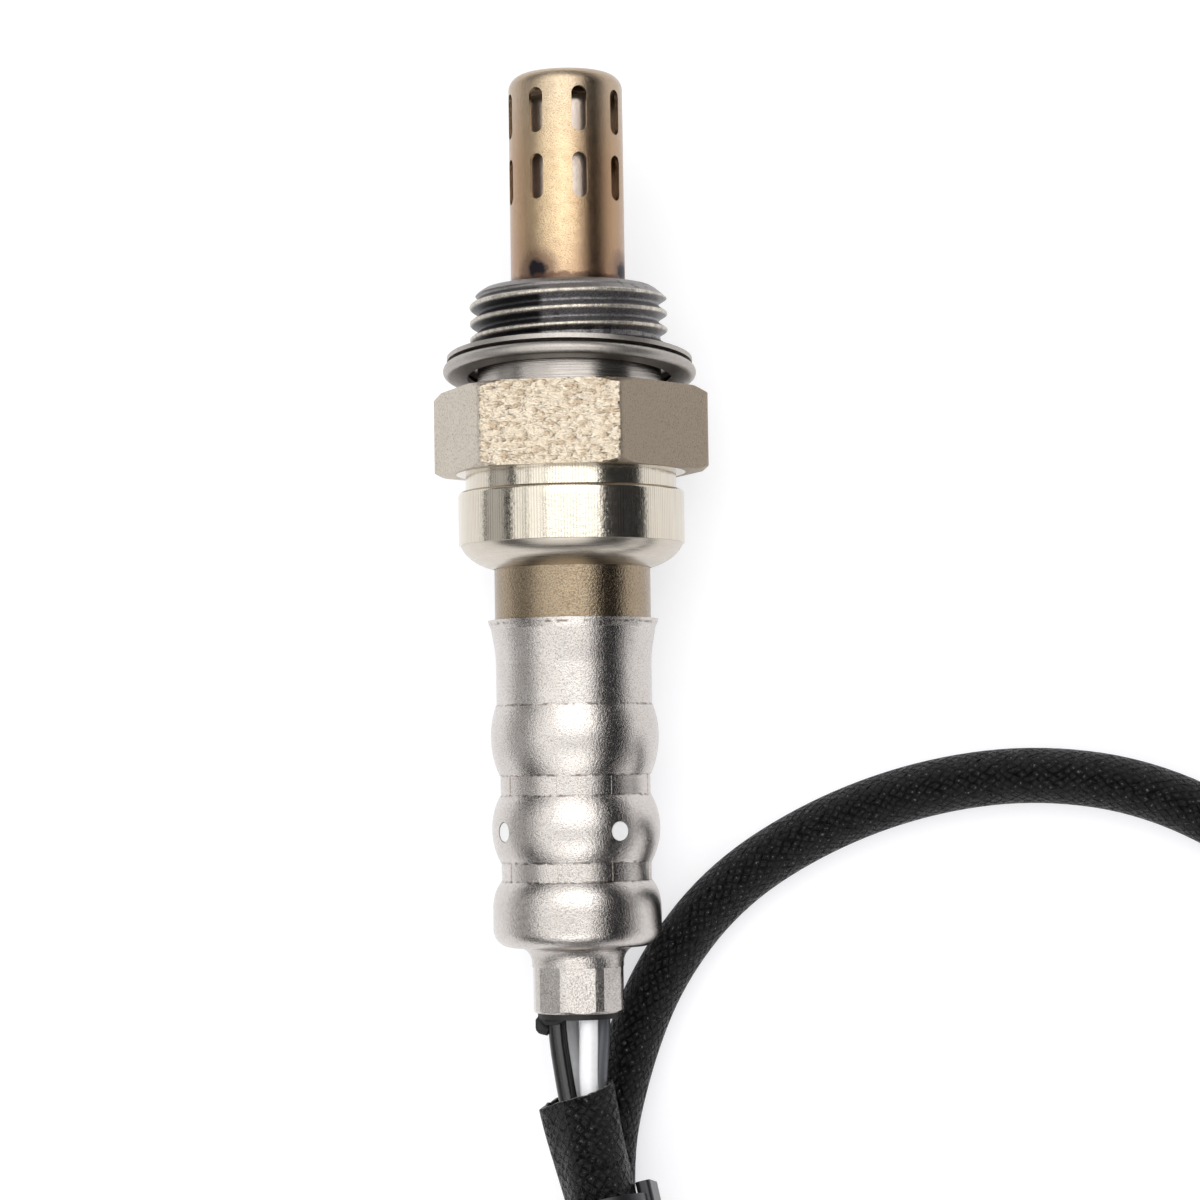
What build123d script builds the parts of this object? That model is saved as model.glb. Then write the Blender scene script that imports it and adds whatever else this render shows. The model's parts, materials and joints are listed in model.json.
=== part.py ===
"""Heated four-wire oxygen sensor with an M18 thread, its braided lead and its connector.

Millimetres. The sensor lies on the floor z = 0 as it comes to rest, on one hexagon flat's
edge and on the last bulge of its shell, with the probe tip raised and pointing along +Y.
The rigid pieces are turned about their own axis first, with s (local +Z) measured from the
seat face of the hexagon towards the tip, and are then laid down by lay_down().
"""
from build123d import *
from math import asin, atan, cos, degrees, hypot, pi, radians, sin, tan
import os

# ---------------------------------------------------------------- driving dimensions
RUN_GAP = 0.05                     # clearance between pieces that slide together
SEAT_GAP = 0.02                    # gap left between flat faces that touch
CUT_MARGIN = 1.0                   # how far a cutting form runs past the piece

# housing, from the seat face of the hexagon
HEX_ACROSS_FLATS = 22.0
HEX_HEIGHT = 7.5
HEX_TOP_CIRCLE_R = 11.75           # where the corner chamfer meets the seat face
HEX_BOTTOM_CIRCLE_R = 11.96
HEX_CHAMFER_ANGLE = 30.0
THREAD_R = 9.0                     # M18 x 1.5, major radius
THREAD_START = 4.6
THREAD_END = 9.4
THREAD_LEAD_IN = 1.1
THREAD_NOSE_R = 7.7
NECK_R = 8.35
NECK_CONE = 0.4
SPIGOT_R = 4.8
SPIGOT_END = 11.5
RING_1_R = 9.55
RING_1_HEIGHT = 1.6
RING_2_R = 10.25
RING_2_HEIGHT = 4.85
RING_EDGE = 0.45
LIP_DROP = 2.2                     # how far the rolled lip stands below ring 2
LIP_BULGE = 0.4                    # the lip's roundness, past the middle of its reach
LIP_BULGE_DROP = 1.32
PROBE_BORE_R = 4.2
PROBE_LEDGE = 4.0
STACK_BORE_R = 5.9
STACK_END = -12.1
FLANGE_BORE_R = 8.2

# protection tubes
OUTER_TUBE_WALL = 0.35
OUTER_TUBE_TIP = 28.9
OUTER_TUBE_CORNER = 1.4
SLOT_WIDTH = 1.4
SLOT_LENGTH = 4.1
SLOT_ROWS = (25.0, 19.0)
SLOTS_PER_ROW = 8
SLOT_START_ANGLE = 23.5            # from the top of the sensor towards +X
INNER_TUBE_R = 4.0
INNER_TUBE_WALL = 0.35
INNER_TUBE_TIP = 26.9
INNER_TUBE_CORNER = 1.2
INNER_FLANGE_R = 5.8
INNER_FLANGE_THICKNESS = 0.4
INNER_HOLE_R = 0.6
INNER_HOLE_ROWS = (22.0, 15.0)
INNER_HOLES_PER_ROW = 6

# sensing element, heater and the packing round them
SEAL_RING_THICKNESS = 0.3
SEAL_RING_BORE_R = 4.3
ELEMENT_SHANK_R = 3.4
ELEMENT_TIP_R = 2.6
ELEMENT_TIP = 24.4
ELEMENT_FLANGE_R = 5.7
ELEMENT_FLANGE_LENGTH = 4.6
ELEMENT_COLLAR_R = 3.85
ELEMENT_END = -14.0
ELEMENT_BORE_R = 1.6
ELEMENT_BORE_TIP = 23.2
ELEMENT_BORE_CORNER = 1.4
ELEMENT_MOUTH_R = 2.15
ELEMENT_MOUTH_DEPTH = 5.0
HEATER_R = 1.25
HEATER_TIP = 22.0
HEATER_CORNER = 0.6
HEATER_END = -26.0
TALC_LENGTH = 4.9
BUSH_LENGTH = 5.5
LOCK_RING_LENGTH = 2.05
LOCK_RING_BORE_R = 5.0

# inner sleeve, pressed under the rolled lip
SLEEVE_R = 7.07
SLEEVE_WALL = 0.5
SLEEVE_FLANGE_R = 8.1
SLEEVE_NECK_R = 6.55
SLEEVE_NECK_START = -24.7
SLEEVE_END = -28.3

# outer shell: radius and station of each form, from the rim to the ferrule
SHELL_WALL = 0.4
RIM_R = 7.75
RIM_AT = -20.8
RIM_THROAT_R = 7.45
RIM_THROAT_AT = -21.6
WAIST_R = 7.05
WAIST_AT = -24.7
WAIST_LEAN = 0.15                  # inward lean of the wall under the throat
FIRST_CRIMP_AT = -28.5
FIRST_CRIMP_STEP = 0.07
BULGE_R = 7.6
BULGE_1_AT = -31.6
CRIMP_R = 6.84
CRIMP_DEPTH = 0.06                 # how deep the collet's jaws press
CRIMP_RIDGE_WIDTH = 0.3            # the ridges that stay between the jaws
CRIMP_JAWS = 8
CRIMP_RIDGE_ANGLE = 39.0           # from the top of the sensor towards +X
CRIMP_2 = (-34.8, -36.6)
BULGE_2_AT = -39.65
CRIMP_3 = (-42.6, -44.3)
BULGE_3_START = -46.7
BULGE_3_LEAN = 0.75                # outward lean of the wall above it
BULGE_3_END = -48.6
SHOULDER_AT = -50.2
SHOULDER_CORNER = 1.6
FERRULE_R = 4.15
FERRULE_FLARE = 1.4
FERRULE_END = -56.1
FERRULE_EDGE = 0.25
FERRULE_FLAT = 3.98                # from the axis to each of the ferrule's pressed flats
FERRULE_FLATS_TOP = -52.0
FERRULE_JAWS = 8
FERRULE_RIDGE_ANGLE = -8.0
VENT_R = 0.9
VENT_AT = -39.8
VENTS = 4
VENT_START_ANGLE = 41.0

# contacts, insulator and rubber
INSULATOR_COLLAR_R = 5.95
INSULATOR_COLLAR_LENGTH = 4.0
INSULATOR_COLLAR_DROP = 0.9
INSULATOR_R = 5.5
INSULATOR_TOP = -24.0
INSULATOR_END = -36.2
POCKET_R = 1.4
POCKET_DEPTH = 2.3
CONTACT_THICKNESS = 0.4
CONTACT_LENGTH = 3.0
CONTACT_OVERLAP = 1.8              # how much of its ring sits on the element
CONTACT_FOOT_AT = -23.5
CONTACT_TAB_WIDTH = 1.4
CONTACT_TAB_LAP = 0.2
SIGNAL_CONTACT_GAP = 0.2
WIRE_CIRCLE_R = 2.2
WIRE_R = 0.84
WIRE_HOLE_GAP = 0.12
WIRE_MOUTH_CIRCLE_R = 1.45         # the wires close up inside the braid
WIRE_MOUTH_SHIFT = 0.4             # and lie against its right side
WIRE_LEAVE = 1.2                   # where they start to bend, behind the grommet
WIRE_ENTRY = 0.6                   # and where they straighten, ahead of the mouth
FIRST_WIRE_ANGLE = 57.0            # in the XZ view from the cable end: X right, Z up
TERMINAL_R = 0.8
TERMINAL_PIN_R = 0.4
BARREL_DROP = 0.5                  # from the floor of the insulator's pocket
HEATER_LEAF_HEIGHT = 1.2
TERMINAL_END = -37.6
HEATER_PIN_LENGTH = 4.5
SPRING_THICKNESS = 0.5
SPRING_CONE = 0.5
SPRING_R = 6.1
SPRING_BORE_R = 4.2
MEMBRANE_WALL = 0.3
MEMBRANE_ENDS = (-34.4, -44.8)
VENT_PLUG_INSET = 0.12             # how far the plugs stay below the bulge
GROMMET_TOP = -38.2
GROMMET_END = -56.6
GROMMET_WALL_GAP = 0.05

# crush gasket round the neck: one folded sheet
GASKET_R = 11.5
GASKET_SHEET = 0.42
GASKET_FOLD_GAP = 0.28
GASKET_BORE_R = 8.85
GASKET_TOP_R = 11.15
GASKET_BOTTOM_R = 9.3
GASKET_TILT = 5.3
GASKET_AT = 2.05
GASKET_DROP = 0.1

# lead: four wires, braided sleeve, tie and connector
CORD_D = 5.0
ARC_SHARE = 0.45                   # share of a run that each arc may use
MOUTH = Vector(0.3, -50.1, 8.6)
SLEEVE_DIRECTION = Vector(2.15, -8.8, 0.9).normalized()
MOUTH_TO_TIE = 10.5
MOUTH_R = 3.5
MOUTH_WALL = 0.35
MOUTH_DEPTH = 4.0
MOUTH_BORE_TAPER = 0.2
TUBE_LAP = 0.1                     # how far the lead runs into the floor of the mouth
MOUTH_SIDE_SLANT = 9.5             # the cut end leans to the right
MOUTH_LOW_SLANT = 12.0             # and its lower edge reaches further
KEEP_WIDTH = 8                     # width of the cutting form, in radii of the mouth
TIED_SLEEVE_R = 3.15
SLEEVE_TAPER_END = 15.0
WIRE_END_GAP = 0.15
TIE_STRAP = 0.8
TIE_WIDTH = 2.6
TIE_GAP = 0.06
TIE_LOW_GAP = 0.25                 # the lower strand crosses the strap at a slight angle
TIE_HEAD = (4.9, 4.6, 1.35)
TIE_HEAD_DROP = 2.6
TIE_HEAD_EDGE = 0.5
LOWER_AT_TIE = Vector(2.48, -61.01, 3.76)

# route of the braided lead after its tied start, from the tie round the loop to the boot
CORD_ROUTE = [
    (4.4, -67.0, 10.3), (4.2, -80.5, 7.2), (9.0, -93.0, 3.6), (18.8, -103.0, 2.55),
    (32.5, -109.0, 2.55), (47.5, -109.0, 2.55), (61.0, -103.0, 2.55), (72.0, -93.0, 2.55),
    (79.5, -80.0, 2.55), (81.8, -66.0, 2.55), (79.0, -51.5, 2.55), (71.5, -38.5, 2.55),
    (61.5, -27.6, 2.55), (51.5, -22.4, 2.55), (41.2, -20.9, 2.55), (31.2, -22.2, 2.55),
    (21.6, -25.6, 2.55), (13.2, -31.0, 2.55), (7.4, -38.3, 2.55), (4.1, -46.2, 2.6),
    (1.9, -56.0, 3.72), (3.3, -68.0, 3.82), (8.9, -78.2, 2.9), (18.2, -84.5, 2.9),
    (29.0, -87.0, 4.6), (38.5, -86.8, 6.0),
]

# connector: boot, housing, nose, ring seal, mat seal, lock and terminals
CONNECTOR_TURN = 9.0
BOOT_LENGTH = 9.0
BOOT_GAP = 0.5                     # the braid ends just behind the boot's rear face
BOOT_FRONT_R = 5.2
BOOT_REAR_R = 3.3
BOOT_RIBS = 4
BOOT_RIB_PITCH = 1.35
BOOT_RIB_WIDTH = 0.75
BOOT_RIB_EDGE = 0.07
BOOT_GROOVE_DEPTH = 0.5
BOOT_GROOVE_WIDTH = 0.4
SHELL_L = 16.0
SHELL_W = 14.0
SHELL_H = 12.0
SHELL_EDGE = 1.4
NOSE_L = 7.0
NOSE_W = 10.6
NOSE_H = 9.0
NOSE_EDGE = 1.2
CAVITY_PITCH = 4.6
CAVITY_ROW_PITCH = 3.9
CAVITY_W = 2.0
CAVITY_H = 1.4
CAVITY_DEPTH = 6.9
PIN_LENGTH = 5.5
PIN_SET_BACK = 1.0
PIN_WALL = 0.4
BLADE_SLOT_DEPTH = 2.5
RING_SEAL_L = 2.2
RING_SEAL_T = 0.9
LATCH_L = 13.0
LATCH_W = 5.0
LATCH_T = 1.2
LATCH_RISE = 0.9
LATCH_SET_BACK = 1.0
LATCH_ROOT_L = 2.0
LATCH_ROOT_LAP = 1.0
LATCH_GRIP = 1.3
LATCH_GRIP_L = 2.5
HOOK_SET_BACK = 5.0
HOOK_L = 2.0
HOOK_W = 3.0
HOOK_H = 0.9
LOCK_AT = 7.2
LOCK_PROUD = 0.01
LOCK_L = 5.0
LOCK_T = 1.0
LOCK_H = 6.0
CONNECTOR_FLOOR_GAP = 0.02

# ---------------------------------------------------------------- values worked out
HEX_R = HEX_ACROSS_FLATS / 2
HEX_CORNER_R = HEX_R / cos(radians(30))
RING_1_END = -HEX_HEIGHT - RING_1_HEIGHT
RING_2_END = RING_1_END - RING_2_HEIGHT
LIP_END = RING_2_END - LIP_DROP
LIP_BORE_R = SLEEVE_R + RUN_GAP
OUTER_TUBE_BORE_R = SPIGOT_R + RUN_GAP
OUTER_TUBE_R = OUTER_TUBE_BORE_R + OUTER_TUBE_WALL
ELEMENT_TOP = PROBE_LEDGE - INNER_FLANGE_THICKNESS - SEAL_RING_THICKNESS - 3 * SEAT_GAP
ELEMENT_FLANGE_END = ELEMENT_TOP - ELEMENT_FLANGE_LENGTH
TALC_END = ELEMENT_FLANGE_END - SEAT_GAP - TALC_LENGTH
BUSH_END = TALC_END - SEAT_GAP - BUSH_LENGTH
SLEEVE_FLANGE_TOP = STACK_END - LOCK_RING_LENGTH - 2 * SEAT_GAP
SLEEVE_FLANGE_END = SLEEVE_FLANGE_TOP - SLEEVE_WALL
MID_BEND = 1 - sin(pi / 4)         # where the middle of a quarter round lies

# the sensor touches the floor on the hexagon's lower edge and on its last bulge
CORNER_CENTRE_R = BULGE_R - SHOULDER_CORNER
contact_length = -HEX_HEIGHT - BULGE_3_END
contact_drop = HEX_R - CORNER_CENTRE_R
TILT = atan(contact_drop / contact_length) - asin(
    SHOULDER_CORNER / hypot(contact_length, contact_drop)
)
AXIS_Z = HEX_HEIGHT * sin(TILT) + HEX_R * cos(TILT)
tip_reach = (OUTER_TUBE_TIP - OUTER_TUBE_CORNER) * cos(TILT) + OUTER_TUBE_CORNER
tip_reach += (OUTER_TUBE_R - OUTER_TUBE_CORNER) * sin(TILT)
tail_reach = GROMMET_END * cos(TILT) - (FERRULE_R - SHELL_WALL) * sin(TILT)
AXIS_Y = -(tip_reach + tail_reach) / 2


def lay_down(shape):
    """Turn a piece from its own axis on to the floor, tip towards +Y and raised."""
    return Pos(0, AXIS_Y, AXIS_Z) * Rot(-(90 - degrees(TILT)), 0, 0) * shape


def axis_point(s, radius=0.0, angle=0.0):
    """A point of the laid sensor: station s, off the axis by radius at angle in X-Z."""
    x = radius * cos(radians(angle))
    up = radius * sin(radians(angle))
    y = s * cos(TILT) - up * sin(TILT) + AXIS_Y
    z = s * sin(TILT) + up * cos(TILT) + AXIS_Z
    return Vector(x, y, z)


def turned(*outline):
    """Revolve a closed outline of (radius, station) points about the sensor's axis."""
    return revolve(Plane.XZ * make_face(Polyline(*outline, close=True)), Axis.Z)


def turned_edges(*edges):
    """Revolve a closed outline made of lines and arcs."""
    return revolve(Plane.XZ * make_face(list(edges)), Axis.Z)


def tube(outer, inner, top, bottom):
    """A plain ring between two stations."""
    return turned((inner, bottom), (outer, bottom), (outer, top), (inner, top))


def spoke(angle):
    """Turn a feature made along local -Y, the sensor's top, to an angle towards +X."""
    return Rot(0, 0, angle)


# ---------------------------------------------------------------- housing and gasket
def hexagon():
    blank = extrude(RegularPolygon(HEX_R, 6, major_radius=False, rotation=0), -HEX_HEIGHT)
    slope = tan(radians(HEX_CHAMFER_ANGLE))
    reach = HEX_CORNER_R + CUT_MARGIN
    limit = turned(
        (0, 0), (HEX_TOP_CIRCLE_R, 0), (reach, -(reach - HEX_TOP_CIRCLE_R) * slope),
        (reach, -HEX_HEIGHT + (reach - HEX_BOTTOM_CIRCLE_R) * slope),
        (HEX_BOTTOM_CIRCLE_R, -HEX_HEIGHT), (0, -HEX_HEIGHT),
    )
    return blank & limit


def make_housing():
    upper = turned(
        (0, 0), (NECK_R, 0), (NECK_R, THREAD_START - NECK_CONE), (THREAD_R, THREAD_START),
        (THREAD_R, THREAD_END - THREAD_LEAD_IN), (THREAD_NOSE_R, THREAD_END),
        (SPIGOT_R, THREAD_END), (SPIGOT_R, SPIGOT_END), (0, SPIGOT_END),
    )
    lip_mid_r = (RING_2_R + LIP_BORE_R) / 2
    rings = turned_edges(
        Line((0, -HEX_HEIGHT), (RING_1_R, -HEX_HEIGHT)),
        Line((RING_1_R, -HEX_HEIGHT), (RING_1_R, RING_1_END)),
        Line((RING_1_R, RING_1_END), (RING_2_R - RING_EDGE, RING_1_END)),
        ThreePointArc(
            (RING_2_R - RING_EDGE, RING_1_END),
            (RING_2_R - RING_EDGE * MID_BEND, RING_1_END - RING_EDGE * MID_BEND),
            (RING_2_R, RING_1_END - RING_EDGE),
        ),
        Line((RING_2_R, RING_1_END - RING_EDGE), (RING_2_R, RING_2_END)),
        ThreePointArc(
            (RING_2_R, RING_2_END), (lip_mid_r + LIP_BULGE, RING_2_END - LIP_BULGE_DROP),
            (LIP_BORE_R, LIP_END),
        ),
        Line((LIP_BORE_R, LIP_END), (0, LIP_END)),
        Line((0, LIP_END), (0, -HEX_HEIGHT)),
    )
    bores = turned(
        (0, SPIGOT_END + CUT_MARGIN), (PROBE_BORE_R, SPIGOT_END + CUT_MARGIN),
        (PROBE_BORE_R, PROBE_LEDGE),
        (STACK_BORE_R, PROBE_LEDGE), (STACK_BORE_R, STACK_END), (FLANGE_BORE_R, STACK_END),
        (FLANGE_BORE_R, SLEEVE_FLANGE_END - SEAT_GAP), (LIP_BORE_R, SLEEVE_FLANGE_END - SEAT_GAP),
        (LIP_BORE_R, LIP_END - CUT_MARGIN), (0, LIP_END - CUT_MARGIN),
    )
    return upper + hexagon() + rings - bores


def make_gasket():
    """A ring folded from one sheet: a top leaf, a middle leaf and a turned-under hem."""
    pitch = GASKET_SHEET + GASKET_FOLD_GAP
    half = GASKET_SHEET / 2
    fold_r = pitch / 2 + half
    inner_x = GASKET_BORE_R + fold_r
    outer_x = GASKET_R - fold_r

    def leaf(inner, outer, level):
        return Pos((inner + outer) / 2, level) * Rectangle(outer - inner, GASKET_SHEET)

    def fold(x, level, side):
        ring = Circle(fold_r) - Circle(fold_r - GASKET_SHEET)
        keep = Pos(side * fold_r, 0) * Rectangle(2 * fold_r, 4 * fold_r)
        return Pos(x, level) * (ring & keep)

    section = leaf(inner_x, GASKET_TOP_R, pitch) + leaf(inner_x, outer_x, 0)
    section += leaf(GASKET_BOTTOM_R, outer_x, -pitch)
    section += fold(inner_x, pitch / 2, -1) + fold(outer_x, -pitch / 2, 1)
    ring = revolve(Plane.XZ * section, Axis.Z)
    return Pos(0, GASKET_DROP, GASKET_AT) * Rot(-GASKET_TILT, 0, 0) * ring


# ---------------------------------------------------------------- probe
def cap(radius, base, tip, corner):
    """A round-cornered blind form, closed at the tip."""
    return turned_edges(
        Line((0, base), (radius, base)),
        Line((radius, base), (radius, tip - corner)),
        ThreePointArc(
            (radius, tip - corner),
            (radius - corner * MID_BEND, tip - corner * MID_BEND),
            (radius - corner, tip),
        ),
        Line((radius - corner, tip), (0, tip)),
        Line((0, tip), (0, base)),
    )


def make_outer_tube():
    body = cap(OUTER_TUBE_R, THREAD_END + SEAT_GAP, OUTER_TUBE_TIP, OUTER_TUBE_CORNER)
    body -= cap(
        OUTER_TUBE_BORE_R, THREAD_END - CUT_MARGIN, OUTER_TUBE_TIP - OUTER_TUBE_WALL,
        OUTER_TUBE_CORNER - OUTER_TUBE_WALL,
    )
    slot = extrude(
        Plane((0, 0, 0), x_dir=(0, 0, 1), z_dir=(0, -1, 0))
        * SlotOverall(SLOT_LENGTH, SLOT_WIDTH),
        OUTER_TUBE_R + CUT_MARGIN,
    )
    for row in SLOT_ROWS:
        for step in range(SLOTS_PER_ROW):
            angle = SLOT_START_ANGLE + step * 360 / SLOTS_PER_ROW
            body -= spoke(angle) * Pos(0, 0, row) * slot
    return body


def make_inner_tube():
    flange_bottom = PROBE_LEDGE - SEAT_GAP - INNER_FLANGE_THICKNESS
    body = cap(INNER_TUBE_R, flange_bottom, INNER_TUBE_TIP, INNER_TUBE_CORNER)
    body += tube(INNER_FLANGE_R, 0.0, PROBE_LEDGE - SEAT_GAP, flange_bottom)
    body -= cap(
        INNER_TUBE_R - INNER_TUBE_WALL, flange_bottom - CUT_MARGIN,
        INNER_TUBE_TIP - INNER_TUBE_WALL,
        INNER_TUBE_CORNER - INNER_TUBE_WALL,
    )
    hole = Rot(90, 0, 0) * Cylinder(
        INNER_HOLE_R, INNER_TUBE_R + CUT_MARGIN, align=(Align.CENTER, Align.CENTER, Align.MIN)
    )
    for number, row in enumerate(INNER_HOLE_ROWS):
        for step in range(INNER_HOLES_PER_ROW):
            angle = (step + number / 2) * 360 / INNER_HOLES_PER_ROW
            body -= spoke(angle) * Pos(0, 0, row) * hole
    return body


def make_element():
    """Zirconia thimble: closed tip, clamping flange and open collar."""
    body = turned_edges(
        Line((0, ELEMENT_END), (ELEMENT_COLLAR_R, ELEMENT_END)),
        Line((ELEMENT_COLLAR_R, ELEMENT_END), (ELEMENT_COLLAR_R, ELEMENT_FLANGE_END)),
        Line((ELEMENT_COLLAR_R, ELEMENT_FLANGE_END), (ELEMENT_FLANGE_R, ELEMENT_FLANGE_END)),
        Line((ELEMENT_FLANGE_R, ELEMENT_FLANGE_END), (ELEMENT_FLANGE_R, ELEMENT_TOP)),
        Line((ELEMENT_FLANGE_R, ELEMENT_TOP), (ELEMENT_SHANK_R, ELEMENT_TOP)),
        Line((ELEMENT_SHANK_R, ELEMENT_TOP), (ELEMENT_TIP_R, ELEMENT_TIP - ELEMENT_TIP_R)),
        ThreePointArc(
            (ELEMENT_TIP_R, ELEMENT_TIP - ELEMENT_TIP_R),
            (ELEMENT_TIP_R * cos(pi / 4), ELEMENT_TIP - ELEMENT_TIP_R * MID_BEND),
            (0, ELEMENT_TIP),
        ),
        Line((0, ELEMENT_TIP), (0, ELEMENT_END)),
    )
    below = ELEMENT_END - CUT_MARGIN
    body -= cap(ELEMENT_BORE_R, below, ELEMENT_BORE_TIP, ELEMENT_BORE_CORNER)
    body -= tube(ELEMENT_MOUTH_R, 0.0, ELEMENT_END + ELEMENT_MOUTH_DEPTH, below)
    return body


def make_heater():
    return cap(HEATER_R, HEATER_END, HEATER_TIP, HEATER_CORNER)


# ---------------------------------------------------------------- inner sleeve and shell
def make_sleeve():
    flange_r = SLEEVE_FLANGE_R
    throat_gap = RUN_GAP * 2
    outer = [
        (flange_r, SLEEVE_FLANGE_TOP), (flange_r, SLEEVE_FLANGE_END),
        (SLEEVE_R, SLEEVE_FLANGE_END), (SLEEVE_R, RIM_AT),
        (RIM_THROAT_R - SHELL_WALL - throat_gap, RIM_THROAT_AT),
        (SLEEVE_NECK_R, SLEEVE_NECK_START), (SLEEVE_NECK_R, SLEEVE_END),
    ]
    inner = [
        (SLEEVE_NECK_R - SLEEVE_WALL, SLEEVE_END),
        (SLEEVE_NECK_R - SLEEVE_WALL, SLEEVE_NECK_START),
        (RIM_THROAT_R - SHELL_WALL - throat_gap - SLEEVE_WALL, RIM_THROAT_AT),
        (SLEEVE_R - SLEEVE_WALL, RIM_AT),
        (SLEEVE_R - SLEEVE_WALL, SLEEVE_FLANGE_TOP),
    ]
    return turned(*outer, *inner)


def shell_form(inset, rim_extra=0.0):
    """The shell's outer form, or its bore when it is inset by the wall."""
    crimp = CRIMP_R - inset
    bulge = BULGE_R - inset
    step_r = WAIST_R + FIRST_CRIMP_STEP - inset
    shoulder = SHOULDER_AT + inset
    corner_r = bulge - SHOULDER_CORNER
    neck = FERRULE_R - inset
    flare = FERRULE_FLARE + inset
    ferrule_end = FERRULE_END - CUT_MARGIN if inset else FERRULE_END
    edge = 0.0 if inset else FERRULE_EDGE
    edges = [
        Line((0, RIM_AT + rim_extra), (RIM_R - inset, RIM_AT + rim_extra)),
        Line((RIM_R - inset, RIM_AT), (RIM_THROAT_R - inset, RIM_THROAT_AT)),
        Spline(
            (RIM_THROAT_R - inset, RIM_THROAT_AT), (WAIST_R - inset, WAIST_AT),
            tangents=((-WAIST_LEAN, -1), (0, -1)),
        ),
        Line((WAIST_R - inset, WAIST_AT), (WAIST_R - inset, FIRST_CRIMP_AT)),
        Line((WAIST_R - inset, FIRST_CRIMP_AT), (step_r, FIRST_CRIMP_AT)),
        ThreePointArc((step_r, FIRST_CRIMP_AT), (bulge, BULGE_1_AT), (crimp, CRIMP_2[0])),
        Line((crimp, CRIMP_2[0]), (crimp, CRIMP_2[1])),
        ThreePointArc((crimp, CRIMP_2[1]), (bulge, BULGE_2_AT), (crimp, CRIMP_3[0])),
        Line((crimp, CRIMP_3[0]), (crimp, CRIMP_3[1])),
        Spline(
            (crimp, CRIMP_3[1]), (bulge, BULGE_3_START),
            tangents=((BULGE_3_LEAN, -1), (0, -1)),
        ),
        Line((bulge, BULGE_3_START), (bulge, BULGE_3_END + inset)),
        ThreePointArc(
            (bulge, BULGE_3_END + inset),
            (bulge - SHOULDER_CORNER * MID_BEND, shoulder + SHOULDER_CORNER * MID_BEND),
            (corner_r, shoulder),
        ),
        Line((corner_r, shoulder), (neck + flare, shoulder)),
        ThreePointArc(
            (neck + flare, shoulder), (neck + flare * MID_BEND, shoulder - flare * MID_BEND),
            (neck, shoulder - flare),
        ),
        Line((neck, shoulder - flare), (neck, ferrule_end + edge)),
        Line((neck - edge, ferrule_end), (0, ferrule_end)),
        Line((0, ferrule_end), (0, RIM_AT + rim_extra)),
    ]
    if edge:
        edges.append(Line((neck, ferrule_end + edge), (neck - edge, ferrule_end)))
    if rim_extra:
        edges.append(Line((RIM_R - inset, RIM_AT + rim_extra), (RIM_R - inset, RIM_AT)))
    return turned_edges(*edges)


def collet_marks(band):
    """What a crimping collet presses into one band; thin ridges stay between its jaws."""
    top, bottom = band
    ring = tube(BULGE_R + CUT_MARGIN, CRIMP_R - CRIMP_DEPTH, top, bottom)
    for jaw in range(CRIMP_JAWS):
        ridge = Pos(0, -BULGE_R, bottom) * Box(
            CRIMP_RIDGE_WIDTH, 2 * BULGE_R, top - bottom,
            align=(Align.CENTER, Align.CENTER, Align.MIN),
        )
        ring -= spoke(CRIMP_RIDGE_ANGLE + jaw * 360 / CRIMP_JAWS) * ridge
    return ring


def ferrule_marks():
    """The flats that a smaller collet presses into the ferrule; its ridges stay round."""
    flats = RegularPolygon(
        FERRULE_FLAT, FERRULE_JAWS, major_radius=False, rotation=FERRULE_RIDGE_ANGLE - 90
    )
    bottom = FERRULE_END - CUT_MARGIN
    return Pos(0, 0, bottom) * extrude(Circle(BULGE_R) - flats, FERRULE_FLATS_TOP - bottom)


def make_shell():
    body = shell_form(0.0)
    body -= collet_marks(CRIMP_2)
    body -= collet_marks(CRIMP_3)
    body -= ferrule_marks()
    body -= shell_form(SHELL_WALL, rim_extra=CUT_MARGIN)
    for drill in vent_drills(VENT_R, BULGE_R + CUT_MARGIN):
        body -= drill
    return body


def vent_drills(radius, reach):
    """Round bars from the axis out through each vent."""
    bar_out = Rot(90, 0, 0) * Cylinder(
        radius, reach, align=(Align.CENTER, Align.CENTER, Align.MIN)
    )
    return [
        spoke(VENT_START_ANGLE + step * 360 / VENTS) * Pos(0, 0, VENT_AT) * bar_out
        for step in range(VENTS)
    ]


def make_membrane():
    """Porous tube that follows the shell's wall between the crimps and fills the vents."""
    outset = SHELL_WALL + GROMMET_WALL_GAP
    top, bottom = MEMBRANE_ENDS
    band = tube(BULGE_R + CUT_MARGIN, 0.0, top, bottom)
    core = shell_form(outset + MEMBRANE_WALL, CUT_MARGIN)
    body = shell_form(outset, CUT_MARGIN) & band
    for plug in vent_drills(VENT_R - RUN_GAP, BULGE_R - VENT_PLUG_INSET):
        body += plug
    return body - core


def wire_holes(top, bottom, radius):
    """Four drillings along the sensor's axis, one for each wire."""
    holes = []
    for step in range(4):
        angle = FIRST_WIRE_ANGLE + step * 90
        x = WIRE_CIRCLE_R * cos(radians(angle))
        y = -WIRE_CIRCLE_R * sin(radians(angle))
        drill = Cylinder(radius, top - bottom, align=(Align.CENTER, Align.CENTER, Align.MIN))
        holes.append(Pos(x, y, bottom) * drill)
    return holes


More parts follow.
